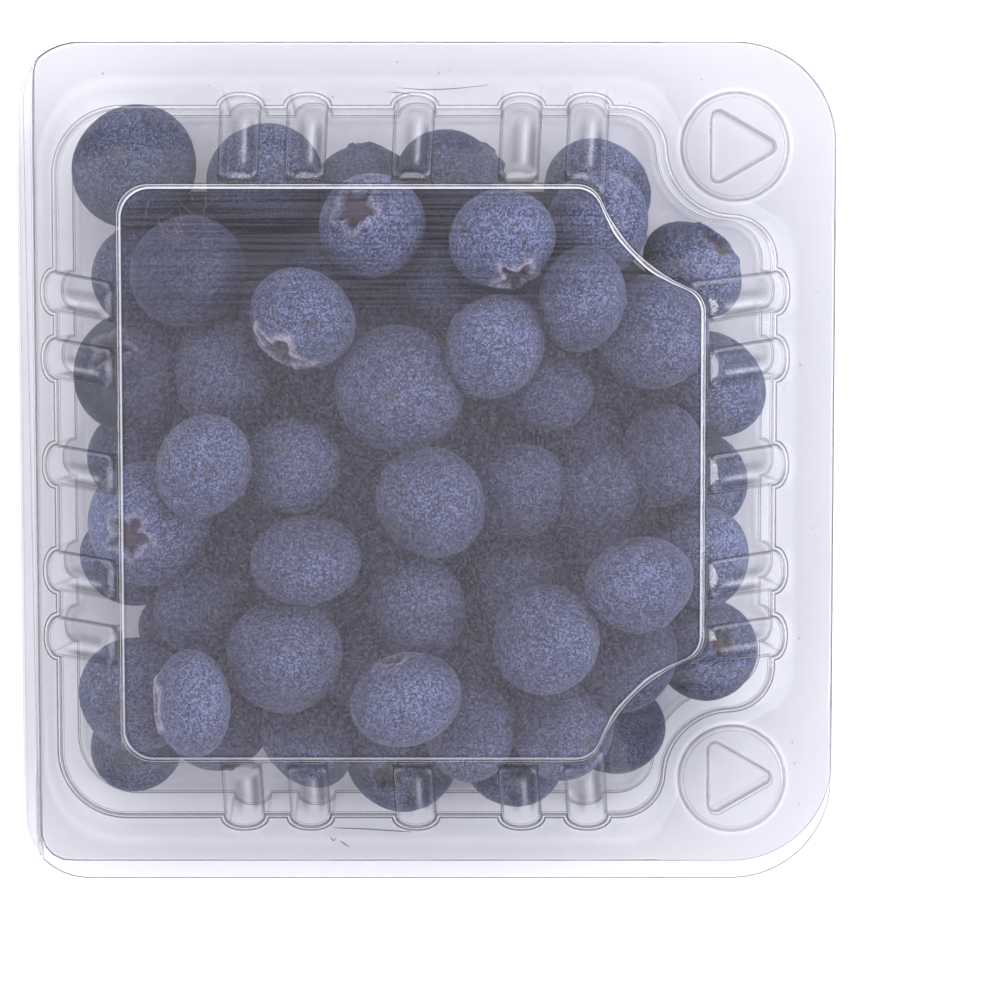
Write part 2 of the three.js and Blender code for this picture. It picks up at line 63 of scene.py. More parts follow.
# Plan of the pack in millimetres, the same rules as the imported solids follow.
CAVITY_X = -1.6
HALF_X, HALF_Y = 50.4, 49.9
CAVITY_CORNER = 9.2
FLANGE_X, FLANGE_Y = 57.5, 59.3
FLANGE_CORNER, HINGE_CORNER = 14.2, 9.0
HINGE_LINE_X = -55.0
LID_SETBACK, SETBACK_CORNER = 2.7, 4.0
BUTTON_X, BUTTON_Y = 43.3, 44.7
BUTTON_RISE = 0.9
NOTCH_RADIUS, NOTCH_FILLET = 10.0, 6.0
PEG_REACH, PEG_TIP = 5.75, 1.25
RIB_OFFSETS = np.array([0.0, 15.0, 24.4])
RIB_HALF, RIB_HEIGHT = 2.85, 1.8
RIB_END, RIB_TOP, RIB_DRAW = 0.885, 0.978, 0.955
LID_RISE, LID_RUN = 20.0, 10.9
PANEL_CORNER, PANEL_FILLET = 4.2, 3.5
BASE_DEPTH, FLOOR_INSET = 15.5, 0.3
FLARE_X, FLARE_Y = 2.2, 3.6
SHEET = 0.5
BASE_FLANGE_TOP = SHEET + BASE_DEPTH
LID_FLANGE_TOP = BASE_FLANGE_TOP + 0.3 + SHEET
PANEL_TOP = LID_FLANGE_TOP + LID_RISE
SEAM = BASE_FLANGE_TOP + 0.15

# Berries that lie against the film or just under it: x, y and height of the middle over the seam, and
# width.
SHOWN = np.array([
    (-16.8, 21, 11.6, 15.2), (-2.9, 11.5, 11.0, 18.1), (1.9, -4.3, 11.8, 16.2), (-20.9, -25.3, 10.9, 16.6),
    (17, -23.4, 11.8, 15.8), (29.5, -15.8, 11.6, 15.4), (10.9, 31.7, 11.8, 14.8), (-16.9, -13.8, 12, 15.5),
    (9.3, 16.7, 12.0, 14.8), (-7.3, 33.7, 10, 15), (-2, -31.8, 10.5, 15.6), (-31, 0.2, 9.5, 15.0),
    (22.8, 27.5, 10.0, 14.8), (-32.6, -31.7, 6.5, 15.4), (-18.4, 0.4, 7.5, 13.6), (16.8, 10.9, 5.5, 13.2),
    (11.9, -3.5, 6, 14), (-1.4, -19.9, 5, 15.7), (11.9, -17.8, 3, 14.4), (-40.6, -8.0, 0.5, 17.6),
    (27.4, 34.6, 2.5, 15.2), (-33.2, 27.3, 4, 16.6), (31.6, 18.8, 4, 16.1), (-42.2, -39.6, -8.5, 13.4),
    (23.3, 1.4, 1, 14.7), (31.8, 1.2, -0.5, 14.4), (6.3, -37.2, 2, 14.7), (-41.6, 42.2, -6.3, 17.8),
    (-22.8, 40.2, -5.5, 16.7), (-8.8, 38.5, -7.3, 15.3), (3.4, 38.9, -1.5, 17.6), (24.4, 36.8, -7.3, 15.6),
    (37.7, 27.3, -4, 15.5), (39.8, 10.9, -2.5, 16.8), (38.4, -2.7, -3, 14.9), (39, -14, -2, 14.5),
    (39, -26, -1, 15.1), (28.4, -39.4, -5, 14.4), (19, -37.4, -1, 14.8), (-3.9, -44.7, -6.5, 16.8),
    (-17.7, -40, -4, 14.6), (-29.9, -38.4, -6, 14.7), (-43.5, -33.3, -5.5, 16.6), (-42, -15.1, -7.8, 14.4),
    (-41.9, 1.5, -7.8, 14.4), (-44.0, 12.7, -3.5, 17.4), (-40.4, 26.4, -7.4, 15.4),
    (-36.0, -24.3, -5.0, 14.6),
])

# Berries whose crown shows, by their row: the way it points, its size and how pale its torn edge is.
# All other crowns point down.
CROWNS = {
    0: ((-0.50, -0.76, 0.40), 1.45, 1.0), 6: ((0.30, -0.82, 0.46), 1.2, 0.8),
    9: ((-0.36, 0.36, 0.86), 1.3, 0.3), 10: ((-0.3, 0.94, 0.1), 1.1, 0.5),
    13: ((-0.96, -0.05, 0.2), 1.4, 0.8), 19: ((-0.30, -0.17, 0.94), 1.2, 0.35),
    32: ((0.62, 0.70, 0.34), 1.3, 0.0), 36: ((0.3, 0.3, 0.9), 0.9, 0.1),
    39: ((-0.25, -0.3, 0.9), 0.9, 0.15), 45: ((-0.32, 0.42, 0.85), 1.1, 0.3),
}

# Berries with a form of their own: the way they are flat, and their height over their width.
FLATTER = {
    1: ((0.2, 0.1, -1.0), 0.86), 3: ((0.1, -1.0, -0.3), 0.91), 7: ((0.1, -1, -0.4), 0.76),
    8: ((-0.8, 0.5, -0.3), 0.88), 12: ((1.0, -0.2, -0.3), 0.80), 13: (CROWNS[13][0], 0.66),
    23: ((0.1, 0.1, -1.0), 0.9), 27: ((0.2, -0.3, -1.0), 0.9), 42: ((0.1, 0.2, -1.0), 0.9),
}

# How much bloom single berries have, with painted light in it: the brighter-lit berries, most of them at
# the +X and +Y walls, get more. The rest have between 0 and 1.
TONES_AND_LIGHT = {
    1: 0.1, 2: -0.1, 3: 0.3, 6: 2.6, 7: -0.6, 8: 1.2, 9: 2.0, 13: 1.4, 14: 1.4, 15: 1.4, 19: 3.6, 20: 3.8,
    21: -1.0, 22: 3.4, 23: 1.0, 24: 1.4, 25: 0.2, 27: 0.3, 28: 1.4, 30: -1.4, 31: 4.8, 32: 5.4, 33: 1.8,
    34: 3.0, 35: 3.2, 36: 1.0, 43: 2.4, 44: 0.8, 45: -2.2, 46: 0.8, 47: 0.0,
}


# Properties that a user may change


def length(name, description, metres):
    """A length."""
    return FloatProperty(name=name, description=description, default=metres, unit="LENGTH", precision=5)


def tint(name, description, red, green, blue):
    """A colour."""
    return FloatVectorProperty(
        name=name, description=description, default=(red, green, blue, 1.0), subtype="COLOR", size=4,
        min=0, max=1,
    )


def power(name, description, watts):
    """A lamp's power."""
    return FloatProperty(name=name, description=description, default=watts, min=0, unit="POWER")


class PunnetSizes(PropertyGroup):
    """Sizes of the film shells."""

    film: length("Film", "Thickness of the formed film", 0.00032)
    foot_fillet: length("Foot fillet", "Radius where a wall leaves its flange", 0.0011)
    panel_fillet: length("Panel fillet", "Radius between a wall and the flat panel", 0.0009)
    floor_fillet: length("Floor fillet", "Radius between the lower wall and the floor", 0.0016)


class FilmFinish(PropertyGroup):
    """How the clear film looks."""

    clear: tint("Clear", "Light that one face of the film lets through", 0.922, 0.922, 0.932)
    # haze is the scuffed film's milky scatter, with a share of painted reflection of the room in it.
    haze: tint("Haze", "Milky scatter in the film", 0.41, 0.385, 0.50)
    # shade and glint are painted shade and painted highlights, drawn as lines where the film bends sharply.
    shade: tint("Shade", "Dark lines where the film bends sharply", 0.05, 0.05, 0.065)
    glint: tint("Glint", "Bright lines where the film bends sharply", 0.86, 0.86, 0.92)


class FruitFinish(PropertyGroup):
    """Shape and colours of the berries."""

    flatness: FloatProperty(
        name="Flatness", description="A berry's height over its width", default=0.86, min=0.6, max=1.0,
        subtype="FACTOR",
    )
    seed: IntProperty(name="Seed", description="Which of the like heaps is made", default=29, min=1)
    skin: tint("Skin", "Skin under the bloom", 0.010, 0.011, 0.024)
    bloom: tint("Bloom", "Waxy bloom", 0.15, 0.185, 0.34)
    grey_bloom: tint("Grey bloom", "Rubbed or reddish bloom", 0.15, 0.146, 0.235)
    rim: tint("Crown rim", "Pale torn edge round the crown", 0.52, 0.48, 0.56)
    crown: tint("Crown", "Dried crown", 0.045, 0.027, 0.032)


class StageLook(PropertyGroup):
    """Floor, lights and sky."""

    floor: tint("Floor", "Colour of the floor", 0.88, 0.88, 0.90)
    sky: tint("Sky", "Colour of the light from all round", 0.93, 0.915, 1.0)
    sky_strength: FloatProperty(
        name="Sky strength", description="Light from all round", default=0.89, min=0
    )
    key_power: power("Key power", "Power of the large lamp behind the pack", 7.5)
    fill_power: power("Fill power", "Power of the lamp at the hinge side", 7.0)
    side_power: power("Side power", "Power of the lamp at the opening side", 12.0)


# Shader building


class Value:
    """A number that varies over a surface. Each operator adds its Math node."""

    def __init__(self, finish, socket):
        self.finish, self.socket = finish, socket

    def _math(self, operation, first, second):
        node = self.finish.node("ShaderNodeMath", {"operation": operation}, {0: first, 1: second})
        return Value(self.finish, node.outputs[0])

    def __add__(self, other):
        return self._math("ADD", self, other)

    def __sub__(self, other):
        return self._math("SUBTRACT", self, other)

    def __rsub__(self, other):
        return self._math("SUBTRACT", other, self)

    def __mul__(self, other):
        return self._math("MULTIPLY", self, other)

    def __pow__(self, other):
        return self._math("POWER", self, other)

    def most(self, other):
        """The larger of the two."""
        return self._math("MAXIMUM", self, other)

    def least(self, other):
        """The smaller of the two."""
        return self._math("MINIMUM", self, other)

    __radd__ = __add__
    __rmul__ = __mul__


class Finish:
    """One material and the nodes in it."""

    def __init__(self, name):
        self.material = bpy.data.materials.new(name)
        self.material.use_nodes = True
        self.tree = self.material.node_tree
        self.tree.nodes.clear()
        self.place = self.node("ShaderNodeTexCoord", {}, {}).outputs["Object"]

    def node(self, kind, settings, sockets):
        """Adds a node: its settings first, then the value or link of each socket."""
        node = self.tree.nodes.new(kind)
        for key, value in settings.items():
            setattr(node, key, value)
        for key, value in sockets.items():
            socket = node.inputs[key]
            if isinstance(value, Value):
                value = value.socket
            if isinstance(value, bpy.types.NodeSocket):
                self.tree.links.new(value, socket)
            else:
                socket.default_value = value
        return node

    def noise(self, scale, detail=2.0, rough=0.5, stretch=(1.0, 1.0, 1.0), shift=(0.0, 0.0, 0.0)):
        """Noise between 0 and 1 over the object; scale counts its waves per metre."""
        spot = self.node(
            "ShaderNodeMapping", {}, {"Vector": self.place, "Location": shift, "Scale": stretch}
        )
        noise = self.node(
            "ShaderNodeTexNoise", {},
            {"Vector": spot.outputs[0], "Scale": scale, "Detail": detail, "Roughness": rough},
        )
        return Value(self, noise.outputs["Fac"])

    def speckle(self, size):
        """A random number between 0 and 1 for each small cube of space."""
        cube = self.node(
            "ShaderNodeVectorMath", {"operation": "SNAP"}, {0: self.place, 1: (size, size, size)}
        )
        noise = self.node(
            "ShaderNodeTexWhiteNoise", {"noise_dimensions": "3D"}, {"Vector": cube.outputs[0]}
        )
        return Value(self, noise.outputs["Value"])

    def band(self, value, low, high):
        """0 below low, 1 above high and a soft step between; the other way round if low is over high."""
        node = self.node(
            "ShaderNodeMapRange", {"interpolation_type": "SMOOTHSTEP"},
            {"Value": value, "From Min": low, "From Max": high},
        )
        return Value(self, node.outputs[0])

    def mask(self, name):
        """A number that the mesh carries at its points."""
        return Value(self, self.node("ShaderNodeAttribute", {"attribute_name": name}, {}).outputs["Fac"])

    def blend(self, share, first, second):
        """A colour between two others."""
        node = self.node("ShaderNodeMix", {"data_type": "RGBA"}, {0: share, 6: first, 7: second})
        return node.outputs[2]

    def bump(self, height, distance, strength):
        """A normal that is roughened by a height."""
        sockets = {"Height": height, "Distance": distance, "Strength": strength}
        return self.node("ShaderNodeBump", {}, sockets).outputs[0]

    def cover(self, share, under, over):
        """A shader between two others."""
        return self.node("ShaderNodeMixShader", {}, {0: share, 1: under, 2: over}).outputs[0]

    def finish(self, shader):
        """Links the shader to the material's output."""
        self.node("ShaderNodeOutputMaterial", {}, {"Surface": shader})
        return self.material


# Meshes


class Sheet:
    """Grids of points that join where their points meet. Each grid may carry masks."""

    def __init__(self, *masks):
        self.points, self.faces, self.masks = [], [], {name: [] for name in masks}
        self.count = 0

    def grid(self, points, wrap=False, flip=False, **masks):
        """Adds rows x columns of points; wrap joins the last column to the first."""
        rows, columns = points.shape[:2]
        index = self.count + np.arange(rows * columns).reshape(rows, columns)
        if wrap:
            index = np.concatenate([index, index[:, :1]], axis=1)
        quads = np.stack([index[:-1, :-1], index[:-1, 1:], index[1:, 1:], index[1:, :-1]], axis=-1)
        quads = quads.reshape(-1, 4)
        self.points.append(points.reshape(-1, 3))
        self.faces.append(quads[:, ::-1] if flip else quads)
        for name, store in self.masks.items():
            mask = np.broadcast_to(masks.get(name, 0.0), (rows, columns))
            store.append(mask.reshape(-1))
        self.count += rows * columns

    def mesh(self, name):
        """Merges points that coincide, drops faces that shrink to a line, and makes the mesh in metres."""
        points = np.concatenate(self.points)
        _, first, index = np.unique(np.round(points, 4), axis=0, return_index=True, return_inverse=True)
        index = index.reshape(-1)
        faces = index[np.concatenate(self.faces)]
        loops = [list(dict.fromkeys(face)) for face in faces.tolist()]
        mesh = bpy.data.meshes.new(name)
        mesh.from_pydata((points[first] * MM).tolist(), [], [loop for loop in loops if len(loop) > 2])
        for mask, store in self.masks.items():
            attribute = mesh.attributes.new(mask, "FLOAT", "POINT")
            attribute.data.foreach_set("value", np.concatenate(store)[first].astype(np.float32))
        mesh.shade_smooth()
        return mesh


def add_piece(name, mesh, material, body, *nodes):
    """Puts a finished mesh in the scene, on its body and in place of its solids."""
    piece = bpy.data.objects.new(name, mesh)
    bpy.context.collection.objects.link(piece)
    mesh.materials.append(material)
    if body:
        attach(piece, body)
    if nodes:
        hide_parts(*nodes)
    return piece


def smooth_step(value):
    """3v^2 - 2v^3 of the value held between 0 and 1."""
    value = np.clip(value, 0.0, 1.0)
    return value * value * (3.0 - 2.0 * value)


def hump(value, at, width):
    """1 at a place and falling off smoothly to both sides of it."""
    return np.exp(-(((value - at) / width) ** 2))


def at_height(xy, z):
    """Points of a plan with their heights."""
    return np.concatenate([xy, np.broadcast_to(z, xy.shape[:-1])[..., None]], axis=-1)


def level_rings(edge, shares, heights):
    """Rings of a face that closes at the pack's middle: its edge drawn in to each share of its size, at
    each height."""
    middle = np.array([CAVITY_X, 0.0])
    xy = middle + (edge[None, :, :2] - middle) * np.asarray(shares)[:, None, None]
    return at_height(xy, np.reshape(heights, (-1, 1)))


def directions(turn):
    """The way in plan at each angle from +X."""
    return np.stack([np.cos(turn), np.sin(turn)], axis=1)


def arc(x, y, radius, start, end, steps=40):
    """Points on a circle's arc from one angle to another."""
    return np.array([x, y]) + radius * directions(np.linspace(start, end, steps))


def path_at(wanted, places, path):
    """The points of a path at other places along it than its own."""
    return np.stack([np.interp(wanted, places, path[:, k]) for k in (0, 1)], axis=1)


def evenly(path, count):
    """A path's points again, spaced evenly along its length, without its two ends."""
    run = np.concatenate([[0.0], np.cumsum(np.hypot(*np.diff(path, axis=0).T))])
    return path_at(np.linspace(0.0, run[-1], count + 2)[1:-1], run, path)


# Plan of the walls


# The button's place in the cavity's own plan. Side 0 of a plan is the +X one, and side 1 the +Y one.
BUTTON = (BUTTON_X - CAVITY_X, BUTTON_Y)


class Plan:
    """The cavity's outline at one level, grown by outset: half sizes, and the radii of its corners, of
    the notch round each button and of the fillets beside it. Any of them may be given instead."""

    def __init__(self, outset, **other):
        self.half_x = HALF_X + outset
        self.half_y = HALF_Y + outset
        self.notch = NOTCH_RADIUS - outset
        self.fillet = NOTCH_FILLET + outset
        self.corner = CAVITY_CORNER + outset
        for key, value in other.items():
            setattr(self, key, value)
        self.halves = (self.half_x, self.half_y)


# Places across a rib from its middle, in halves of its width, close together at its edges.
HALF_STEPS = np.array([0.15, 0.3, 0.45, 0.62, 0.78, 0.86, 0.9, 0.94, 0.97, 1.0, 1.03, 1.07, 1.22])
RIB_STEPS = np.concatenate([-HALF_STEPS[::-1], [0.0], HALF_STEPS])

# A ring's columns after x and y: the way its ribs stand out in x and in y, and the step across a rib,
# which is FLAT_STEP where there is no rib.
OUT_X, OUT_Y, STEP = 2, 3, 4
FLAT_STEP = 2.0

# Further places between the first two ribs, and a ring's points round each button and plain corner.
BETWEEN_RIBS = np.array([5.6, 7.5, 9.4])
NOTCH_POINTS, CORNER_POINTS = 56, 19


def fillet_middle(plan, side):
    """Middle of the fillet between a straight side and the notch round the button: how far out it is,
    and how far along the side."""
    middle = plan.halves[side] - plan.fillet
    reach = (plan.notch + plan.fillet) ** 2 - (BUTTON[side] - middle) ** 2
    return middle, BUTTON[1 - side] - math.sqrt(reach)


def side_across(places, plan, side):
    """How far out the outline lies at places along a side: straight, then fillet, then notch."""
    middle, start = fillet_middle(plan, side)
    across, along = BUTTON[side], BUTTON[1 - side]
    turn = math.atan2(along - start, across - middle)
    on_fillet = middle + np.sqrt(np.maximum(plan.fillet**2 - (places - start) ** 2, 0.0))
    on_notch = across - np.sqrt(np.maximum(plan.notch**2 - (along - places) ** 2, 0.0))
    out = np.where(places <= start + plan.fillet * math.sin(turn), on_fillet, on_notch)
    return np.where(places <= start, plan.halves[side], out)


def notch_path(plan, end):
    """The outline from one side's last rib, round the button, to the next side's last rib."""
    bx, by = BUTTON
    right_x, right_y = fillet_middle(plan, 0)
    top_y, top_x = fillet_middle(plan, 1)
    if end < right_y:
        right_turn = math.atan2(by - right_y, bx - right_x)
        top_turn = math.atan2(by - top_y, bx - top_x)
        full = 2 * math.pi * (top_turn > right_turn)
        path = np.concatenate([
            [(plan.half_x, end)],
            arc(right_x, right_y, plan.fillet, 0.0, right_turn),
            arc(bx, by, plan.notch, right_turn + math.pi, top_turn + math.pi - full),
            arc(top_x, top_y, plan.fillet, top_turn, math.pi / 2),
            [(end, plan.half_y)],
        ])
    else:
        first = math.atan2(end - by, side_across(end, plan, 0) - bx)
        last = math.atan2(side_across(end, plan, 1) - by, end - bx)
        path = arc(bx, by, plan.notch, first, last - 2 * math.pi * (last > first), 80)
    return evenly(path, NOTCH_POINTS)


def rib_places(half):
    """Places along half a side from its middle, and each place's step across its rib."""
    beside = np.clip(np.abs(RIB_STEPS) - 1.0, 0.0, None) * RIB_HALF
    reach = np.sign(RIB_STEPS) * (np.minimum(np.abs(RIB_STEPS), 1.0) * half + beside)
    places = np.append((RIB_OFFSETS[:, None] + reach).reshape(-1), BETWEEN_RIBS)
    steps = np.append(np.tile(RIB_STEPS, len(RIB_OFFSETS)), np.full(len(BETWEEN_RIBS), FLAT_STEP))
    order = np.argsort(places)
    keep = places[order] >= 0
    return places[order][keep], steps[order][keep]


def wall_ring(plan, grow=0.0, draw=1.0):
    """One ring of a wall in plan, counterclockwise from +X: x, y, the way its ribs stand out (x, y)
    and each point's step across its rib. grow widens every rib, draw draws them all together."""
    places, steps = rib_places(RIB_HALF + grow)
    places = places * draw

    def stretch(x, y, out_x, out_y, step=steps):
        """Points of one stretch of the ring with the way their ribs stand out."""
        return np.stack(np.broadcast_arrays(x, y, out_x, out_y, step), axis=1)

    middle, quarter = (plan.corner - plan.half_x, plan.half_y - plan.corner), math.pi / 2
    bend = arc(*middle, plan.corner, quarter, 2 * quarter, CORNER_POINTS)
    upper = np.concatenate([
        stretch(side_across(places, plan, 0), places, 1, 0),
        stretch(*notch_path(plan, places[-1]).T, 0, 0, FLAT_STEP),
        stretch(places, side_across(places, plan, 1), 0, 1)[::-1],
        stretch(-places, plan.half_y, 0, 1)[1:],
        stretch(*bend.T, 0, 0, FLAT_STEP),
        stretch(-plan.half_x, places, -1, 0)[::-1],
    ])
    lower = upper[1:-1][::-1] * np.array([1, -1, 1, -1, 1])
    return np.concatenate([upper, lower])


def rib_form(steps, end):
    """A rib's height over its wall, 0 to 1: a rounded hump across, closed by a blunt end."""
    across = np.maximum(1.0 - np.abs(steps) ** 2.3, 0.0) ** 0.55
    return across * np.maximum(1.0 - np.clip(end, 0.0, 1.0) ** 3, 0.0) ** 0.55


def rib_lines(ring, end):
    """Painted shade and painted highlights round a rib, as fine lines: dark at its outline, bright just
    inside it, and stripes of painted reflection down its back, from the far or hinge side to the other.
    Dark is above 0 and bright below."""
    along = np.where(np.abs(ring[:, OUT_X]) > 0.5, -np.sign(ring[:, 1]), np.sign(ring[:, 0]))
    steps = ring[:, STEP] * along
    capped = np.clip(end, 0.0, 1.0)
    round_it = (np.abs(steps) ** 4 + capped**4) ** (1 / 4)
    fine = 0.03 + 0.06 * capped
    outline = 1.2 * hump(round_it, 0.98, fine) - 0.5 * hump(round_it, 0.91, fine)
    stripes = 0.45 * hump(steps, -0.2, 0.22) + 0.8 * hump(steps, 0.70, 0.15) - 0.3 * hump(steps, 0.27, 0.13)
    return outline + stripes * smooth_step((0.2 - end) / 0.8) * smooth_step((end + 7.5) / 3.0)


def fillet_arc(radius, slope, steps):
    """A fillet between a level line and a slope: offsets from their corner, outward and upward."""
    turn = np.linspace(0.0, slope, steps)
    reach = radius * math.tan(slope / 2)
    return np.stack([reach - radius * np.sin(turn), radius * (1.0 - np.cos(turn))], axis=1)


# The lid's wall at its flange and at its panel, the points of a ring from +X to the first button, and
# the points that face a button.
FOOT = wall_ring(Plan(0.0))
HEAD = wall_ring(Plan(-LID_RUN, fillet=PANEL_FILLET, corner=PANEL_CORNER), draw=RIB_DRAW)
QUARTER = len(rib_places(RIB_HALF)[0])
NOTCH_SPAN = slice(QUARTER + 10, QUARTER + NOTCH_POINTS - 10)


def lid_ring(outset):
    """The lid wall's ring where it stands outset from its foot, negative up the wall."""
    if outset > 0:
        return wall_ring(Plan(outset), outset)
    share = -outset / LID_RUN
    ring = FOOT.copy()
    ring[:, :2] = FOOT[:, :2] + (HEAD[:, :2] - FOOT[:, :2]) * share
    return ring


def base_ring(share, outset=0.0):
    """The lower wall's ring at a share of the way from the rim down to the floor."""
    rim = wall_ring(Plan(FLARE_X + outset, half_y=HALF_Y + FLARE_Y + outset))
    floor = wall_ring(Plan(-FLOOR_INSET + outset), outset)
    rim[:, :2] += (floor[:, :2] - rim[:, :2]) * share
    return rim


def raised(ring, z, height=RIB_HEIGHT, end=0.0):
    """A ring's points in the pack's frame, with its ribs standing out by a height. end is how far the
    ring lies into the ribs' blunt ends, from 0 to 1."""
    lift = height * rib_form(ring[:, STEP], end)
    x = CAVITY_X + ring[:, 0] + ring[:, OUT_X] * lift
    return at_height(np.stack([x, ring[:, 1] + ring[:, OUT_Y] * lift], axis=1), z)


# Flanges


def hinge_side_bend(edge, corner):
    """The flange's round corner beside the hinge, from the end edge at a height y to the hinge line."""
    if corner == HINGE_CORNER:
        middle = corner - FLANGE_X
        return arc(middle, edge - corner, corner, math.pi / 2, math.acos((HINGE_LINE_X - middle) / corner))
    return arc(HINGE_LINE_X + corner, edge - corner, corner, math.pi / 2, math.pi)


def outline_for(ring, end_y, end_corner):
    """For each ring point, the flange's outline point that lies straight across from it. Round the
    corners beside the hinge the points go by their direction from a middle inside the corner."""
    x, y = CAVITY_X + ring[:, 0], ring[:, 1]
    count, notch_end = len(ring), QUARTER + NOTCH_POINTS
    index, half, turned = np.arange(count), count // 2, QUARTER + NOTCH_POINTS // 2
    plain = (np.abs(ring[:, OUT_X]) < 0.5) & (np.abs(ring[:, OUT_Y]) < 0.5)
    up = (ring[:, OUT_Y] > 0.5) | plain & (index >= turned) & (index < notch_end)
    down = (ring[:, OUT_Y] < -0.5) | plain & (index <= count - turned) & (index > count - notch_end)
    left = ring[:, OUT_X] < -0.5
    out = np.stack([
        np.where(left, HINGE_LINE_X, np.where(up | down, x, FLANGE_X)),
        np.where(up, FLANGE_Y, np.where(down, end_y, y)),
    ], axis=1)
    upper = plain & (index > notch_end + 4) & (index < half + 4)
    lower = plain & (index > half) & (index < count - notch_end - 4)
    for here, sign, edge, corner in ((upper, 1, FLANGE_Y, HINGE_CORNER), (lower, -1, -end_y, end_corner)):
        first, last = np.flatnonzero(here)[[0, -1]]
        bend = hinge_side_bend(edge, corner) * (1, sign)
        middle = np.array([x[first], y[last]] if sign > 0 else [x[last], y[first]])
        path = evenly(np.concatenate([out[[first - 1]], bend[::sign], out[[last + 1]]]), 400)
        turns, wanted = (
            np.arctan2(across[:, 1], across[:, 0]) % (2 * math.pi)
            for across in (path - middle, np.stack([x[here], y[here]], axis=1) - middle)
        )
        out[here] = path_at(wanted, turns, path)
    return out


def peg_radius(turn, grow):
    """Radius of a triangle with round tips at an angle from its middle, one tip towards +X."""
    third = 2 * math.pi / 3
    off = np.abs((turn + third / 2) % third - third / 2)
    tip, middle = PEG_TIP + grow, PEG_REACH - PEG_TIP
    flat = (middle / 2 + tip) / np.cos(third / 2 - off)
    touch = math.atan2(tip * math.sin(third / 2), middle + tip * math.cos(third / 2))
    inside = np.maximum(tip**2 - (middle * np.sin(off)) ** 2, 0.0)
    return np.where(off < touch, middle * np.cos(off) + np.sqrt(inside), flat)


def button_profile(peg_depth, disc):
    """The button's rings from its middle outwards: how far each of the peg's lies outside its triangle,
    or the radius of each of the disc's, and their heights over the flange."""
    rise = BUTTON_RISE if disc else 0.0
    low = rise - peg_depth
    peg = [(-1.2, low), (-0.75, low), (-0.5, low + 0.12), (-0.4, low + 0.4)]
    peg += [(-0.1, rise - 0.3), (0.0, rise - 0.1), (0.14, rise), (0.3, rise)]
    ring = [(6.75, rise), (7.0, rise - 0.02), (7.2, rise - 0.12), (7.36, rise - 0.36)]
    ring += [(7.5, 0.3), (7.62, 0.1), (7.85, 0.0), (8.3, 0.0)]
    return peg, ring if disc else []


# Rings of the flange from its outline in to the wall's foot, and the line on each: painted shade and a
# painted highlight at the outline, and an even faint grey over the plain flange.
PLAIN_LINE = 0.12
FLANGE_SHARES = np.array([0.0, 0.03, 0.06, 0.4, 0.8, 1.0])
RIM_LINE = np.array([1.5, -0.2] + [PLAIN_LINE] * 4)


def add_flange(sheet, inner, z, end_y, end_corner, peg_depth, disc, flip):
    """The flange from a wall's foot ring to its outline: straight strips round the sides, and a fan of
    rings round each button in the opening-side corners."""
    foot = raised(inner, z)[:, :2]
    outline = outline_for(inner, end_y, end_corner)
    count = len(inner)
    spans = [NOTCH_SPAN, slice(count - NOTCH_SPAN.stop + 1, count - NOTCH_SPAN.start + 1)]
    strips = outline[None] + (foot[None] - outline[None]) * FLANGE_SHARES[:, None, None]
    points = at_height(strips, z)
    index = np.arange(count)
    for start, stop in ((spans[1].stop - 1, spans[0].start + 1), (spans[0].stop - 1, spans[1].start + 1)):
        take = index[start:stop] if start < stop else np.concatenate([index[start:], index[:stop]])
        sheet.grid(points[:, take], flip=flip, line=RIM_LINE[:, None])
    for span, sign, edge in zip(spans, (1, -1), (FLANGE_Y, -end_y)):
        first, last = outline[[span.start, span.stop - 1]][::sign]
        middle = (FLANGE_X - FLANGE_CORNER, edge - FLANGE_CORNER)
        bend = arc(*middle, FLANGE_CORNER, 0.0, math.pi / 2) * (1, sign)
        around = np.concatenate([[first], bend, [last]])[::-sign]
        add_button(sheet, foot[span], around, points, span, z, sign, peg_depth, disc, flip)


# The painted shade (above 0) or painted highlight (below 0) on each of a button's rings.
BUTTON_LINE = np.array([0.1, 0.1, 0.3, 0.1, 0.1, 1.1, -0.2, 0.1, 0.1, 0.4, 0.0, 0.1, 0.1, 1.0, -0.2, 0.1])


def add_button(sheet, inside, outline, points, span, z, sign, peg_depth, disc, flip):
    """Rings from a corner's closed boundary in to the middle of its button."""
    after = points[::-1, span.stop - 1, :2][1:-1]
    before = points[:, span.start, :2][1:-1]
    along = evenly(outline, 70)
    loop = np.concatenate([inside, after, outline[:1], along, outline[-1:], before])
    middle = np.array([BUTTON_X, sign * BUTTON_Y])
    turn = np.unwrap(np.arctan2(*(loop - middle).T[::-1]))
    rings = [at_height(np.broadcast_to(middle, loop.shape), z + BUTTON_RISE * disc - peg_depth)]
    peg, ring = button_profile(peg_depth, disc)
    radii = [peg_radius(turn, grow) for grow, _ in peg] + [np.full_like(turn, size) for size, _ in ring]
    for radius, (_, height) in zip(radii, peg + ring):
        rings.append(at_height(middle + radius[:, None] * directions(turn), z + height))
    rim = rings[-1][:, :2]
    rings += [at_height(rim + (loop - rim) * share, z) for share in (0.25, 0.6, 0.96, 0.98, 1.0)]
    lines = np.full((len(rings), len(loop)), PLAIN_LINE)
    lines[1:1 + len(radii)] = BUTTON_LINE[:len(radii), None]
    lines[-1:-3:-1, len(inside) + len(after):len(loop) - len(before)] = RIM_LINE[:2, None]
    sheet.grid(np.stack(rings)[::-1], wrap=True, flip=not flip, line=lines[::-1])


# Hairlines on the lid's flange: x, y along each, in millimetres.
HAIRLINES = (
    ((-4.0, 52.9), (-1.6, 52.7), (0.6, 52.6), (4.6, 52.8), (8.8, 53.3)),
    ((-5.4, 52.3), (-3.4, 52.2), (-1.6, 51.8)),
    ((-13.3, -51.9), (-8.0, -52.1), (-2.3, -52.5)),
    ((-13.9, -53.2), (-13.4, -53.8), (-13.0, -53.3)),
    ((-12.5, -53.8), (-11.2, -54.6)),
)


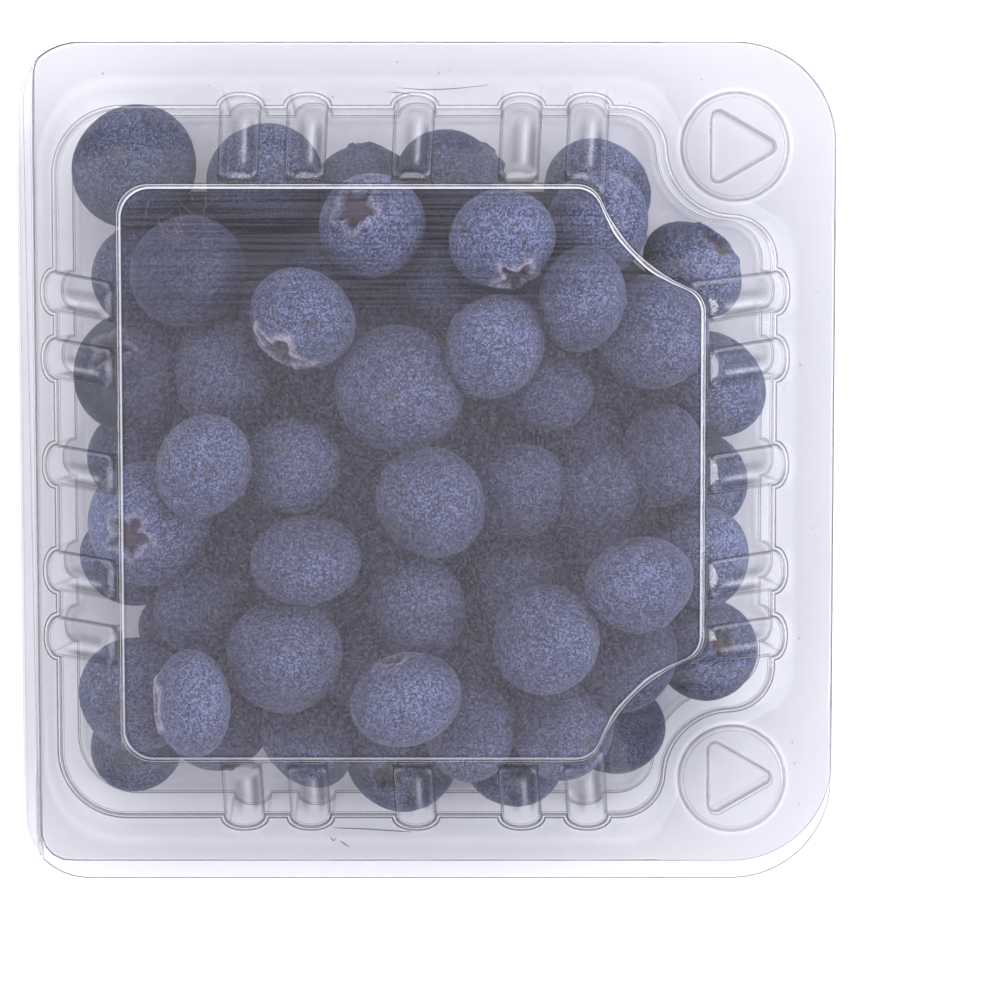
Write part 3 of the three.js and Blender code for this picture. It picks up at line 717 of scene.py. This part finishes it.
def add_ribbon(sheet, path, width, z, line):
    """A narrow strip along a curve through the path's points, at one height."""
    place = np.arange(len(path))
    way = path_at(np.linspace(0, len(path) - 1, 4 * len(path)), place, np.asarray(path, float))
    way[1:-1] = (way[:-2] + way[1:-1] + way[2:]) / 3
    run = np.gradient(way, axis=0)
    side = np.stack([-run[:, 1], run[:, 0]], axis=1) / np.linalg.norm(run, axis=1, keepdims=True)
    taper = width / 2 * np.sin(np.linspace(0.3, math.pi - 0.3, len(way)))[:, None]
    sheet.grid(at_height(np.stack([way - side * taper, way + side * taper]), z), line=line)


# How many random marks there are, and the areas that they start in, by two corners of each.
SPECKS, SCRATCHES = 26, 22
FAR_STRIP, OPENING_STRIP = ((-52, 50.5), (56, 58)), ((51.5, -50), (56, 30))
SCRATCHED = ((-39.0, 31.0), (-27.0, 38.0))


def add_marks(sheet):
    """Hairlines and specks on the flange, and fine random scratches in one corner of the panel."""
    above = LID_FLANGE_TOP + 0.02
    for path in HAIRLINES:
        add_ribbon(sheet, path, 0.12, above, 1.0)
    random = np.random.default_rng(11)
    for _ in range(SPECKS):
        at = random.uniform(*(FAR_STRIP if random.uniform() < 0.5 else OPENING_STRIP))
        add_ribbon(sheet, [at, at + random.uniform(-0.25, 0.25, 2)], 0.14, above, 0.9)
    for _ in range(SCRATCHES):
        start = random.uniform(*SCRATCHED)
        turn = random.uniform(0, math.pi) + np.linspace(0, random.uniform(-0.7, 0.7), 5)
        path = start + np.cumsum(directions(turn), axis=0) * random.uniform(0.3, 1.0)
        path = np.stack([np.maximum(path[:, 0], -40.0), np.minimum(path[:, 1], 38.0)], axis=1)
        add_ribbon(sheet, path, 0.03, PANEL_TOP - 0.12, -0.2)


# Film shells


# Sizes of the small cubes that make the film's and the bloom's grain, in metres.
FILM_GRAIN, BLOOM_GRAIN = 0.00029, 0.00023

# Fine lines of painted shade and painted highlights round the lid's foot and round its panel, a value
# for each ring of their fillets: dark above 0 and bright below.
FOOT_LINES = np.array([0.0, 1.2, -0.2, -0.2, 1.2, 0.5, -0.3, 0.9, 0.0, 0.0])
PANEL_LINES = np.array([0.8, 0.2, -1.5, -0.6, 1.0, 0.3, -0.9, -1.5, 1.0, 0.3])

# How far the panel's and the floor's rings lie inside their edge, of which the last is at their middle,
# and how deep the panel's middle sags.
PANEL_INSETS = np.array([0.0, 0.35, 0.75, 0.95, 1.2, 2.5, 5, 9, 14, 20, 26, 32, 37, 38.5])
FLOOR_INSETS = np.array([0.0, 1.5, 4, 9, 16, 24, 32, 40, 46, 50])
PANEL_SAG = 0.28


def lid_mesh(sizes):
    """The lid: flange, foot fillet, leaning ribbed wall, panel fillet and panel. A profile of outset and
    height is carried round the plan's ring; the ribs add their hump on the wall."""
    slope = math.atan2(LID_RISE, LID_RUN)
    foot = fillet_arc(sizes.foot_fillet / MM, slope, 10)
    head = fillet_arc(sizes.panel_fillet / MM, slope, 10)[::-1] * (-1, -1) + (-LID_RUN, LID_RISE)
    rise = np.concatenate([np.linspace(0.08, 0.84, 10), np.linspace(0.87, RIB_TOP, 12)])
    wall = np.stack([-LID_RUN * rise, LID_RISE * rise], axis=1)
    profile = np.concatenate([foot, wall, head])
    sheet = Sheet("line", "panel", "streaky")
    rows, lines = [], []
    for outset, height in profile:
        ring = lid_ring(outset)
        end = (height / LID_RISE - RIB_END) / (RIB_TOP - RIB_END)
        rows.append(raised(ring, LID_FLANGE_TOP + height, RIB_HEIGHT, end))
        lines.append(rib_lines(ring, end) * (height > 0.3))
    lines = np.stack(lines)
    # Painted light by side: towards +Y the foot's lines grow fainter and the panel's lines stronger.
    upward = FOOT[:, 1] / HALF_Y
    lines[:len(foot)] += FOOT_LINES[:, None] * (1.0 - 0.3 * upward)
    lines[-len(head):] = PANEL_LINES[:, None] * (0.8 + 0.25 * upward)
    sheet.grid(np.stack(rows), wrap=True, line=lines)
    low = 0.03 * smooth_step((PANEL_INSETS - 0.7) / 0.35) + 0.12 * smooth_step((PANEL_INSETS - 2.0) / 30)
    low[-1] = PANEL_SAG
    panel = level_rings(rows[-1], 1.0 - PANEL_INSETS / PANEL_INSETS[-1], PANEL_TOP - low)
    line = np.zeros(panel.shape[:2])
    # Painted shade: a faint dark line all round the panel's edge, and a darker one just inside its +Y edge.
    upper = smooth_step((panel[0, :, 1] - 37.5) / 1.0)
    line[0], line[2] = 0.2, 0.6 * upper
    mask = np.ones(panel.shape[:2])
    mask[0] = 0.6
    streaky = smooth_step((panel[:, :, 1] - 16.0) / 14.0)
    sheet.grid(panel, wrap=True, line=line, panel=mask, streaky=streaky)
    inner, end_y = lid_ring(foot[0, 0]), LID_SETBACK - FLANGE_Y
    add_flange(
        sheet, inner, LID_FLANGE_TOP, end_y, SETBACK_CORNER, peg_depth=2.5, disc=True, flip=False
    )
    add_marks(sheet)
    return sheet.mesh("lid_film")


def base_mesh(sizes):
    """The lower half from outside: flange, mouth fillet, steep wall whose ribs grow towards the floor,
    floor fillet and floor."""
    depth = BASE_FLANGE_TOP - SHEET
    slope_x = math.atan2(depth, FLARE_X + FLOOR_INSET)
    mouth = fillet_arc(0.5 * sizes.foot_fillet / MM, slope_x, 6)
    foot = fillet_arc(sizes.floor_fillet / MM, slope_x, 8)
    sheet = Sheet("line", "panel")
    rows, lines = [], []

    def carry(ring, z, height=RIB_HEIGHT, line=0.0):
        """Adds a row of points and its line."""
        rows.append(raised(ring, z, height))
        lines.append(line + np.zeros(len(ring)))

    for outset, down in mouth[:-1]:
        carry(base_ring(down / depth, max(outset, 0.0)), depth - down, 0.0)
    # The lines on the lower wall's ribs and on its floor fillet are painted shade and painted highlights.
    for share in np.linspace(0.08, 0.88, 14):
        ring = base_ring(share)
        carry(ring, depth * (1 - share), RIB_HEIGHT * share, 0.6 * share * rib_lines(ring, -9.0))
    for outset, up in foot[::-1]:
        carry(base_ring(1.0, -max(outset, 0.0)), up, line=1.5 * (0.5 < up < 0.8))
    carry(base_ring(1.0, -foot[0, 0] - 0.7), 0.0, 0.0)
    sheet.grid(np.stack(rows), wrap=True, flip=True, line=np.stack(lines))
    sheet.grid(level_rings(rows[-1], 1.0 - FLOOR_INSETS / FLOOR_INSETS[-1], 0.0), wrap=True, flip=True)
    inner = base_ring(0.0, mouth[0, 0])
    inner[:, STEP] = FLAT_STEP
    add_flange(sheet, inner, depth, -FLANGE_Y, HINGE_CORNER, peg_depth=2.6, disc=False, flip=True)
    return sheet.mesh("base_film")


def hinge_mesh():
    """The hinge: a U of film along the -X edge. A loop profile is carried along the edge, whose ends
    follow the flange's round corners. Rows of the profile: how far out, how high and its line of painted
    shade (above 0) or painted highlight (below 0)."""
    low, high = BASE_FLANGE_TOP - 0.33, LID_FLANGE_TOP - 0.17
    middle, radius = (low + high) / 2, (high - low) / 2
    turn = np.linspace(math.pi / 2, -math.pi / 2, 13)
    loop_out = radius * np.cos(turn)
    loop_z = middle + radius * np.sin(turn)
    reach = FLANGE_Y - HINGE_CORNER
    bend = np.linspace(0.0, 0.68, 9)
    straight = np.linspace(-reach, reach, 41)[1:-1]
    rounded = HINGE_CORNER * np.sin(bend)
    y = np.concatenate([-reach - rounded[::-1], straight, reach + rounded])
    away = np.concatenate([1 - np.cos(bend)[::-1], 0 * straight, 1 - np.cos(bend)]) * HINGE_CORNER
    outer = -FLANGE_X + away
    sheet = Sheet("line", "panel", "streaky")
    inner = HINGE_LINE_X - 0.1
    width = np.maximum(inner - outer - radius, 0.05)
    crease = 0.45 + 0.25 * y / reach
    top = [(0.0, 0.0, 0.1), (0.05, 0.04, 1.3), (0.10, 0.06, -0.2), (0.15, 0.03, 0.4), (0.2, 0.0, 0.0)]
    top += [(crease - 0.04, 0.0, 0.0), (crease, 0.05, 0.5), (crease + 0.04, 0.0, 0.0), (1.0, 0.0, 0.05)]
    profile = [(inner - width * share, high - dip, line) for share, dip, line in top]
    profile += [(outer + radius - out, z, 0.15) for out, z in zip(loop_out[1:-1], loop_z[1:-1])]
    profile += [(inner - width * share, low, 0.0) for share in (1.0, 0.5, 0.0)]
    rows = [at_height(np.stack([x, y], axis=1), z) for x, z, _ in profile]
    lines = np.array([line for _, _, line in profile])[:, None]
    sheet.grid(np.stack(rows), line=lines * np.minimum(width, 1.0))
    return sheet.mesh("hinge_film")


def film_finish(look, name, sheen, scuffed):
    """Clear formed film: it lets light through and mirrors by its angle, up to sheen on edge. Where it
    bends sharply it carries painted shade and painted highlights as fine dark and bright lines. The panel
    of scuffed film is milky, grainy and finely streaked, and its milky haze holds a share of painted
    reflection."""
    film = Finish(name)
    facing = Value(film, film.node("ShaderNodeLayerWeight", {}, {"Blend": 0.5}).outputs["Facing"])
    line, milk = film.mask("line"), 0.004
    if scuffed:
        panel, streaky = film.mask("panel"), film.mask("streaky")
        streaks = film.band(film.noise(26.0, 1.0, 0.75, (1.0, 80.0, 1.0)), 0.42, 0.58)
        grain = film.speckle(FILM_GRAIN)
        # The panel's milky haze: the scuffed film's own scatter with a share of painted reflection of the
        # room, less of it towards the +Y side.
        milk = panel * (1.0 - streaky * 0.85) * (0.018 + grain * grain * 0.06)
        milk = milk + streaks * (streaky * 0.024 + 0.002) + 0.003
    clear = film.node("ShaderNodeBsdfTransparent", {}, {"Color": look.clear}).outputs[0]
    gloss = film.node("ShaderNodeBsdfGlossy", {}, {"Color": (1, 1, 1, 1), "Roughness": 0.12}).outputs[0]
    haze, shade, glint = (
        film.node("ShaderNodeBsdfDiffuse", {}, {"Color": colour}).outputs[0]
        for colour in (look.haze, look.shade, look.glint)
    )
    sheet = film.cover(facing**6.0 * sheen + 0.022, clear, gloss)
    sheet = film.cover(milk, sheet, haze)
    # Painted shade where the line is above 0, and painted highlights where it is below.
    sheet = film.cover(line.most(0.0) * 0.5, sheet, shade)
    return film.finish(film.cover((0.0 - line).most(0.0) * 0.36, sheet, glint))


# Berries


def park_miller(seed):
    """The same row of numbers each time, between 0 and 1."""
    state = seed
    while True:
        state = state * 16807 % 2147483647
        yield state / 2147483647


def free_half(half, flare, radius, height):
    """The free half width for a ball's middle: under the leaning lid wall or beside its edge, and
    within the lower wall."""
    lean = LID_RUN / LID_RISE
    slant = math.hypot(1, lean)
    edge = half - SHEET * slant
    beside = edge - np.sqrt(np.maximum(radius**2 - height**2, 0.0))
    lid = np.where(height > -radius * lean / slant, edge - lean * height - slant * radius, beside)
    base_lean = (flare + FLOOR_INSET) / BASE_DEPTH
    base_slant = math.hypot(1, base_lean)
    base = half + flare - base_slant * (SHEET + radius) + base_lean * np.minimum(height, 0.0)
    return np.minimum(lid, base)


def kept_inside(at, width):
    """Middles moved to the nearest place inside the two shells."""
    radius = width / 2 + 0.3
    at = at.copy()
    at[:, 2] = np.clip(at[:, 2], SHEET + radius, PANEL_TOP - SHEET - radius)
    height = at[:, 2] - SEAM
    half_x = free_half(HALF_X, FLARE_X, radius, height)
    half_y = free_half(HALF_Y, FLARE_Y, radius, height)
    at[:, 0] = np.clip(at[:, 0], CAVITY_X - half_x, CAVITY_X + half_x)
    at[:, 1] = np.clip(at[:, 1], -half_y, half_y)
    keep = NOTCH_RADIUS + HALF_X - half_x
    for y in (BUTTON_Y, -BUTTON_Y):
        away = at[:, :2] - (BUTTON_X, y)
        distance = np.hypot(away[:, 0], away[:, 1])
        near = distance < keep
        at[near, :2] = (BUTTON_X, y) + away[near] * (keep / distance)[near, None]
    return at


# Fillers: the layers' heights over the seam, the lattice's step and reach, and their least width and its
# spread. CROWDING and TOUCHING are shares of the distance at which two berries touch.
LAYERS, LATTICE, LATTICE_REACH = (-7.6, -1.0, 5.0, 11.5), 6.1, 7
SMALLEST, SPREAD = 13.6, 3.4
CROWDING, TOUCHING, PUSHES = 0.83, 0.97, 150


def packed_berries(flatness):
    """The berries' middles and widths: the shown ones, fillers on a lattice wherever there is room, and
    then all pushed apart until they only touch. Fillers stay low, so that no other berry shows."""
    at = SHOWN[:, :3] + (0, 0, SEAM)
    width = SHOWN[:, 3]
    random = park_miller(71)
    reach = (1 + flatness) / 4
    places = range(-LATTICE_REACH, LATTICE_REACH + 1)
    for height, column, row in itertools.product(LAYERS, places, places):
        wide = SMALLEST + SPREAD * next(random)
        spot = np.array([[CAVITY_X + column * LATTICE, row * LATTICE, SEAM + height]])
        moved = kept_inside(spot, np.array([wide]))
        free = np.linalg.norm(at - moved, axis=1) >= CROWDING * reach * (width + wide)
        if np.linalg.norm(moved - spot) <= LATTICE / 2 and free.all():
            at, width = np.concatenate([at, moved]), np.append(width, wide)
    placed = np.arange(len(at)) < len(SHOWN)
    weight = np.where(placed, 4.0, 1.0)
    give = np.where(placed[:, None], (0.1, 0.1, 1.0), 1.0)
    touch = TOUCHING * reach * (width[:, None] + width[None, :])
    for _ in range(PUSHES):
        apart = at[None, :, :] - at[:, None, :]
        distance = np.linalg.norm(apart, axis=2) + np.eye(len(at)) * 1e6
        overlap = np.maximum(touch - distance, 0.0)
        push = overlap * weight[None, :] / (weight[:, None] + weight[None, :]) / 2 / distance
        at = kept_inside(at - (apart * push[:, :, None]).sum(axis=1) * give, width)
    highest = SEAM + 1.0
    spare = ~placed & (at[:, 2] > highest)
    at[spare, 2] = highest + (at[spare, 2] - highest) * 0.2
    return at, width


# Depth under the film at which the light has faded to a third.
FADE_DEPTH = 13.0


def film_distance(points):
    """How far points lie inside the shells: under the panel, over the floor or behind the nearest
    wall. Under the panel the way up to it counts even beside a wall."""
    z, lean = points[..., 2], LID_RUN / LID_RISE
    height = (z - LID_FLANGE_TOP)[..., None]
    inward = np.array([HALF_X, HALF_Y]) - np.abs(points[..., :2] - (CAVITY_X, 0.0))
    upright = inward + (FLARE_X, FLARE_Y)
    beside = np.where(height > 0, (inward - lean * height) / math.hypot(1, lean), upright).min(axis=-1)
    nearest = np.minimum(beside, np.minimum(PANEL_TOP - z, z))
    below = smooth_step((inward.min(axis=-1) - LID_RUN + 1.0) / 2.0) * smooth_step((z - 6.0) / 8.0)
    return np.maximum(nearest, below * 0.75 * (PANEL_TOP - z))


def crown_frames(axis, spin):
    """For each crown direction, three square directions: two across it and itself."""
    axis = axis / np.linalg.norm(axis, axis=1, keepdims=True)
    helper = np.where(np.abs(axis[:, 2:]) < 0.9, [[0.0, 0.0, 1.0]], [[1.0, 0.0, 0.0]])
    across = np.cross(helper, axis)
    across /= np.linalg.norm(across, axis=1, keepdims=True)
    other = np.cross(axis, across)
    turned = across * np.cos(spin)[:, None] + other * np.sin(spin)[:, None]
    return np.stack([turned, np.cross(axis, turned), axis], axis=1)


def berry_forms(count, flat, size, random):
    """Unit berries, all at once: a flattened ball whose crown pole carries a sunken five-pointed star
    with a raised torn edge, and whose other pole carries a small scar. Angle from the crown pole runs
    down the rows, turn round it runs along the columns."""
    rows = np.concatenate([np.linspace(0.06, 0.66, 14), np.linspace(0.78, 2.84, 12), [2.93, 3.0, 3.06]])
    columns = np.linspace(0, 2 * math.pi, 40, endpoint=False)
    away, turn = np.meshgrid(rows, columns, indexing="ij")
    away, turn = away[None], turn[None]
    draw = random.uniform(-1, 1, (14, count, 1, 1))
    point = np.abs(((turn * 5 / (2 * math.pi)) + draw[0]) % 1 - 0.5) * 2
    tear = 0.03 * np.sin(7 * turn + 3 * draw[1]) + 0.02 * np.sin(11 * turn + 5 * draw[2])
    size = size[:, None, None]
    inner, outer = size * (0.20 + 0.03 * draw[3]), size * (0.37 + 0.05 * draw[4])
    star = inner + (outer - inner) * point**1.4 + tear
    sunk = smooth_step((star - away) / 0.07)
    edge = hump(away - star, 0.03 * size**2, 0.045 * size**2)
    scar = hump(away, math.pi, 0.11)
    rise = -0.13 * sunk + (0.040 + 0.02 * draw[5]) * edge + 0.022 * hump(away - outer, 0.03, 0.09)
    rise = rise - 0.05 * scar
    up, out = np.cos(away), np.sin(away)
    lump = 0.014 * np.sin(2 * turn + 3 * draw[6]) * out**2 + 0.010 * np.cos(3 * away + 3 * draw[7])
    lump = lump + 0.010 * np.cos(5 * turn + 3 * draw[8]) * hump(away, 0.75, 0.35)
    lump = lump + 0.010 * np.sin(3 * turn + 3 * draw[9]) * out
    ball = out * (1.0 + lump) + rise * out
    tall = flat[:, None, None] * up * (1 + 0.05 * up**2 * draw[10]) + rise * up
    form = np.stack([ball * np.cos(turn), ball * np.sin(turn), tall + 0 * turn], axis=-1)
    masks = {"crown": sunk + 0 * turn, "edge": edge + 0 * turn, "scar": scar + 0 * (turn + draw[0])}
    return form, masks


def berry_mesh(fruit):
    """Every berry as one mesh: unit forms turned to their crown directions, scaled and put in place."""
    at, width = packed_berries(fruit.flatness)
    count = len(at)
    random = np.random.default_rng(fruit.seed)
    flat = np.clip(random.normal(fruit.flatness - 0.01, 0.05, count), 0.74, 0.95)
    axis = random.normal(size=(count, 3))
    axis[:, 2] = -np.abs(axis[:, 2]) * 0.8
    size, pale = random.uniform(0.85, 1.1, count), np.full(count, 0.25)
    for index, (way, wide, light) in CROWNS.items():
        axis[index], size[index], pale[index] = way, wide, light
    for index, (way, height) in FLATTER.items():
        axis[index], flat[index] = way, height
    frames = crown_frames(axis, random.uniform(0, 2 * math.pi, count))
    form, masks = berry_forms(count, flat, size, random)
    masks["edge"] = masks["edge"] * pale[:, None, None]
    points = np.einsum("nrcj,njk->nrck", form, frames) * (width / 2)[:, None, None, None]
    points = points + at[:, None, None, :]
    tone = random.uniform(0, 1, count)
    # The listed tones hold painted light as well as bloom.
    tone[list(TONES_AND_LIGHT)] = list(TONES_AND_LIGHT.values())
    columns = form.shape[2]
    sheet = Sheet("crown", "edge", "scar", "tone", "near")
    whole = {name: np.broadcast_to(mask, form.shape[:3]) for name, mask in masks.items()}
    caps = points[:, [0, -1]].mean(axis=2)
    for k in range(count):
        poles = [np.broadcast_to(cap, (1, columns, 3)) for cap in caps[k]]
        strip = np.concatenate([poles[0], points[k], poles[1]])
        own = {name: np.concatenate([mask[k, :1], mask[k], mask[k, -1:]]) for name, mask in whole.items()}
        # Painted shade: the share of light left at each point by its depth under the film, which fades the
        # bloom.
        near = np.exp(-film_distance(strip) / FADE_DEPTH)
        sheet.grid(strip, wrap=True, flip=True, tone=tone[k], near=near, **own)
    return sheet.mesh("blueberries")


# The core's rings: share of its plan, and height. Its plan lies CORE_INSET inside the cavity's.
CORE_PROFILE = (
    (0.0, 7.0), (0.5, 7.0), (0.9, 7.4), (1.0, 8.6), (0.95, 10), (0.85, 12), (0.7, 13.4), (0, 13.6),
)
CORE_INSET = 11.4


def core_mesh():
    """The dark block hidden in the middle of the heap, painted shade for the gaps between the berries: a
    rounded ring plan, drawn in at top and bottom.
    """
    edge = wall_ring(Plan(-CORE_INSET, fillet=PANEL_FILLET, corner=PANEL_CORNER))[:, :2] + (CAVITY_X, 0)
    sheet = Sheet()
    sheet.grid(level_rings(edge, *np.transpose(CORE_PROFILE)), wrap=True)
    return sheet.mesh("berry_shade_core")


def berry_finish(fruit):
    """Blueberry skin: dark skin under a pale waxy bloom, grainy and cloudy, with painted shade that fades
    the bloom and the crown's pale edge into dark where the heap lies deep under the film; a dry brown
    crown with a pale torn edge."""
    skin = Finish("blueberry_skin")
    tone, near, crown, edge, scar = (skin.mask(name) for name in ("tone", "near", "crown", "edge", "scar"))
    broad = skin.band(skin.noise(150.0, 1.0, 0.5), 0.30, 0.70)
    cloud = skin.noise(520.0, 2.0, 0.6)
    grain = skin.speckle(BLOOM_GRAIN)
    rubbed = skin.band(skin.noise(260.0, 2.0, 0.6, shift=(0.3, 0.1, 0.2)), 0.56, 0.72)
    bloom_and_painted_light = (0.22 + broad * 0.26 + cloud * 0.42 + tone * 0.14 - rubbed * 0.20) * (grain * grain * 1.65 + 0.15)
    # Painted shade: the bloom fades into the dark skin with depth under the film.
    bloom_and_painted_light = (bloom_and_painted_light * near).least(1.0).most(0.0)
    bloom = skin.blend(rubbed * 0.6 + broad * 0.3, fruit.bloom, fruit.grey_bloom)
    colour = skin.blend(bloom_and_painted_light, fruit.skin, bloom)
    # The pale torn edge is dimmed by the same painted shade.
    torn = edge * (0.55 + grain * 0.45) * (0.4 + near * 0.6)
    colour = skin.blend(torn, colour, fruit.rim)
    colour = skin.blend(crown * 0.92, colour, fruit.crown)
    colour = skin.blend(scar * 0.8, colour, (0.08, 0.060, 0.055, 1.0))
    bump = skin.bump(cloud, 0.0001, 0.6)
    base = skin.node(
        "ShaderNodeBsdfPrincipled", {},
        {"Base Color": colour, "Roughness": 0.80 - rubbed * 0.2, "Normal": bump,
         "Specular IOR Level": 0.2, "Sheen Weight": 0.05, "Sheen Roughness": 0.5},
    )
    return skin.finish(base.outputs[0])


def core_finish():
    """Shadowed skins in the gaps between the berries."""
    dark = Finish("berry_shadow")
    mottle = dark.noise(300.0, 3.0)
    colour = dark.blend(mottle, (0.006, 0.006, 0.012, 1.0), (0.016, 0.017, 0.034, 1.0))
    base = dark.node("ShaderNodeBsdfPrincipled", {}, {"Base Color": colour, "Roughness": 0.8})
    return dark.finish(base.outputs[0])


# Operators


def solidify(piece, thickness):
    """Gives a film sheet its thickness, inwards."""
    wall = piece.modifiers.new("film", "SOLIDIFY")
    wall.thickness, wall.offset = thickness, -1.0


def shared_film(look):
    """The film of the lid and the hinge."""
    return bpy.data.materials.get("clear_film") or film_finish(look, "clear_film", 0.14, True)


class PUNNET_OT_blueberries(Operator):
    """Fill the punnet with blueberries over a dark core of painted shade"""

    bl_idname = "punnet.blueberries"
    bl_label = "Blueberries"

    def execute(self, context):
        fruit = context.scene.punnet_fruit
        add_piece("blueberries", berry_mesh(fruit), berry_finish(fruit), "base_body", "berries")
        add_piece("berry_shade_core", core_mesh(), core_finish(), "base_body", "berries")
        return {"FINISHED"}


class PUNNET_OT_base_film(Operator):
    """Build the lower half of the film shell"""

    bl_idname = "punnet.base_film"
    bl_label = "Lower shell"

    def execute(self, context):
        sizes = context.scene.punnet_sizes
        film = film_finish(context.scene.punnet_film, "clear_film_below", 0.15, False)
        piece = add_piece("base_film", base_mesh(sizes), film, "base_body", "base")
        solidify(piece, sizes.film)
        return {"FINISHED"}


class PUNNET_OT_lid_film(Operator):
    """Build the shown half of the film shell"""

    bl_idname = "punnet.lid_film"
    bl_label = "Upper shell"

    def execute(self, context):
        sizes = context.scene.punnet_sizes
        film = shared_film(context.scene.punnet_film)
        piece = add_piece("lid_film", lid_mesh(sizes), film, "lid_body", "lid")
        solidify(piece, sizes.film)
        return {"FINISHED"}


class PUNNET_OT_hinge_film(Operator):
    """Build the film hinge that joins the halves"""

    bl_idname = "punnet.hinge_film"
    bl_label = "Hinge"

    def execute(self, context):
        sizes = context.scene.punnet_sizes
        piece = add_piece("hinge_film", hinge_mesh(), shared_film(context.scene.punnet_film), None, "hinge")
        solidify(piece, sizes.film)
        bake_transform(piece)
        return {"FINISHED"}


# The point that the lamps look at, in metres.
LAMP_AIM = (0, 0, 0.02)


def add_lamp(name, watts, size, place, colour):
    """A square soft lamp that looks at the pack."""
    light = bpy.data.lights.new(name, "AREA")
    light.energy, light.size, light.color = watts, size, colour
    lamp = bpy.data.objects.new(name, light)
    bpy.context.collection.objects.link(lamp)
    turn = np.array(LAMP_AIM) - np.array(place)
    away = math.atan2(math.hypot(turn[0], turn[1]), -turn[2])
    lamp.rotation_euler = (away, 0.0, math.atan2(turn[1], turn[0]) - math.pi / 2)
    lamp.location = place


# The camera's aim and distance in millimetres, its lean off the plumb line in degrees, and its lens.
CAMERA_AIM, CAMERA_DISTANCE = (10.35, -5.0, LID_FLANGE_TOP), 470.0
CAMERA_TILT, CAMERA_LENS = 4.7, 119.7


def add_camera(scene):
    """The camera over the pack: it stands a few degrees off the plumb line of its aim, towards +Y."""
    tilt = math.radians(CAMERA_TILT)
    camera = bpy.data.cameras.new("camera")
    camera.lens, camera.sensor_width = CAMERA_LENS, 36.0
    camera.clip_start, camera.clip_end = 0.01, 10.0
    eye = bpy.data.objects.new("camera", camera)
    bpy.context.collection.objects.link(eye)
    aim = np.array(CAMERA_AIM) * MM
    eye.location = aim + CAMERA_DISTANCE * MM * np.array([0, math.sin(tilt), math.cos(tilt)])
    eye.rotation_euler = (-tilt, 0.0, 0.0)
    scene.camera = eye


class PUNNET_OT_stage(Operator):
    """Set the floor, the soft studio light and the camera"""

    bl_idname = "punnet.stage"
    bl_label = "Stage"

    def execute(self, context):
        look, scene = context.scene.punnet_stage, context.scene
        side = np.array([-1.5, 1.5])
        x, y = np.meshgrid(side, side)
        sheet = Sheet()
        sheet.grid(np.stack([x, y, 0 * x], axis=2) / MM)
        ground = Finish("pale_floor")
        grain = ground.noise(40.0, 3.0)
        colour = ground.blend(grain * 0.3, look.floor, tuple(c * 0.97 for c in look.floor[:3]) + (1.0,))
        sockets = {"Base Color": colour, "Roughness": 0.9, "Specular IOR Level": 0.1}
        base = ground.node("ShaderNodeBsdfPrincipled", {}, sockets)
        floor = add_piece("floor", sheet.mesh("floor"), ground.finish(base.outputs[0]), None)

        world = bpy.data.worlds.new("soft_sky")
        world.use_nodes = True
        sky = world.node_tree.nodes["Background"]
        sky.inputs["Color"].default_value = look.sky
        sky.inputs["Strength"].default_value = look.sky_strength
        scene.world = world
        add_lamp("key_lamp", look.key_power, 0.7, (0.1, 0.75, 0.75), (1.0, 0.98, 0.96))
        add_lamp("side_lamp", look.side_power, 0.6, (0.8, 0.1, 0.5), (0.97, 0.98, 1.0))
        add_lamp("fill_lamp", look.fill_power, 0.8, (-0.8, -0.2, 0.6), (1.0, 1.0, 1.0))
        add_camera(scene)
        scene.view_settings.view_transform = "Standard"
        scene.cycles.transparent_max_bounces = 32
        scene.cycles.max_bounces, scene.cycles.diffuse_bounces, scene.cycles.glossy_bounces = 5, 2, 2
        return {"FINISHED"}


class PUNNET_PT_tools(Panel):
    """The punnet's pieces and their sizes"""

    bl_label = "Blueberry punnet"
    bl_space_type = "VIEW_3D"
    bl_region_type = "UI"
    bl_category = "Punnet"

    def draw(self, context):
        scene = context.scene
        for group in (scene.punnet_sizes, scene.punnet_film, scene.punnet_fruit, scene.punnet_stage):
            box = self.layout.box()
            for name in group.bl_rna.properties.keys():
                if name not in ("rna_type", "name"):
                    box.prop(group, name)
        for operator in OPERATORS:
            self.layout.operator(operator.bl_idname)


GROUPS = {
    "punnet_sizes": PunnetSizes,
    "punnet_film": FilmFinish,
    "punnet_fruit": FruitFinish,
    "punnet_stage": StageLook,
}
OPERATORS = (
    PUNNET_OT_stage, PUNNET_OT_blueberries, PUNNET_OT_base_film, PUNNET_OT_lid_film, PUNNET_OT_hinge_film,
)


def register():
    for name, group in GROUPS.items():
        bpy.utils.register_class(group)
        setattr(bpy.types.Scene, name, PointerProperty(type=group))
    for kind in (*OPERATORS, PUNNET_PT_tools):
        bpy.utils.register_class(kind)


def unregister():
    for kind in (PUNNET_PT_tools, *reversed(OPERATORS)):
        bpy.utils.unregister_class(kind)
    for name, group in GROUPS.items():
        delattr(bpy.types.Scene, name)
        bpy.utils.unregister_class(group)


def main():
    register()
    bpy.ops.punnet.stage()
    bpy.ops.punnet.blueberries()
    bpy.ops.punnet.base_film()
    bpy.ops.punnet.lid_film()
    bpy.ops.punnet.hinge_film()


if __name__ == "__main__":
    main()
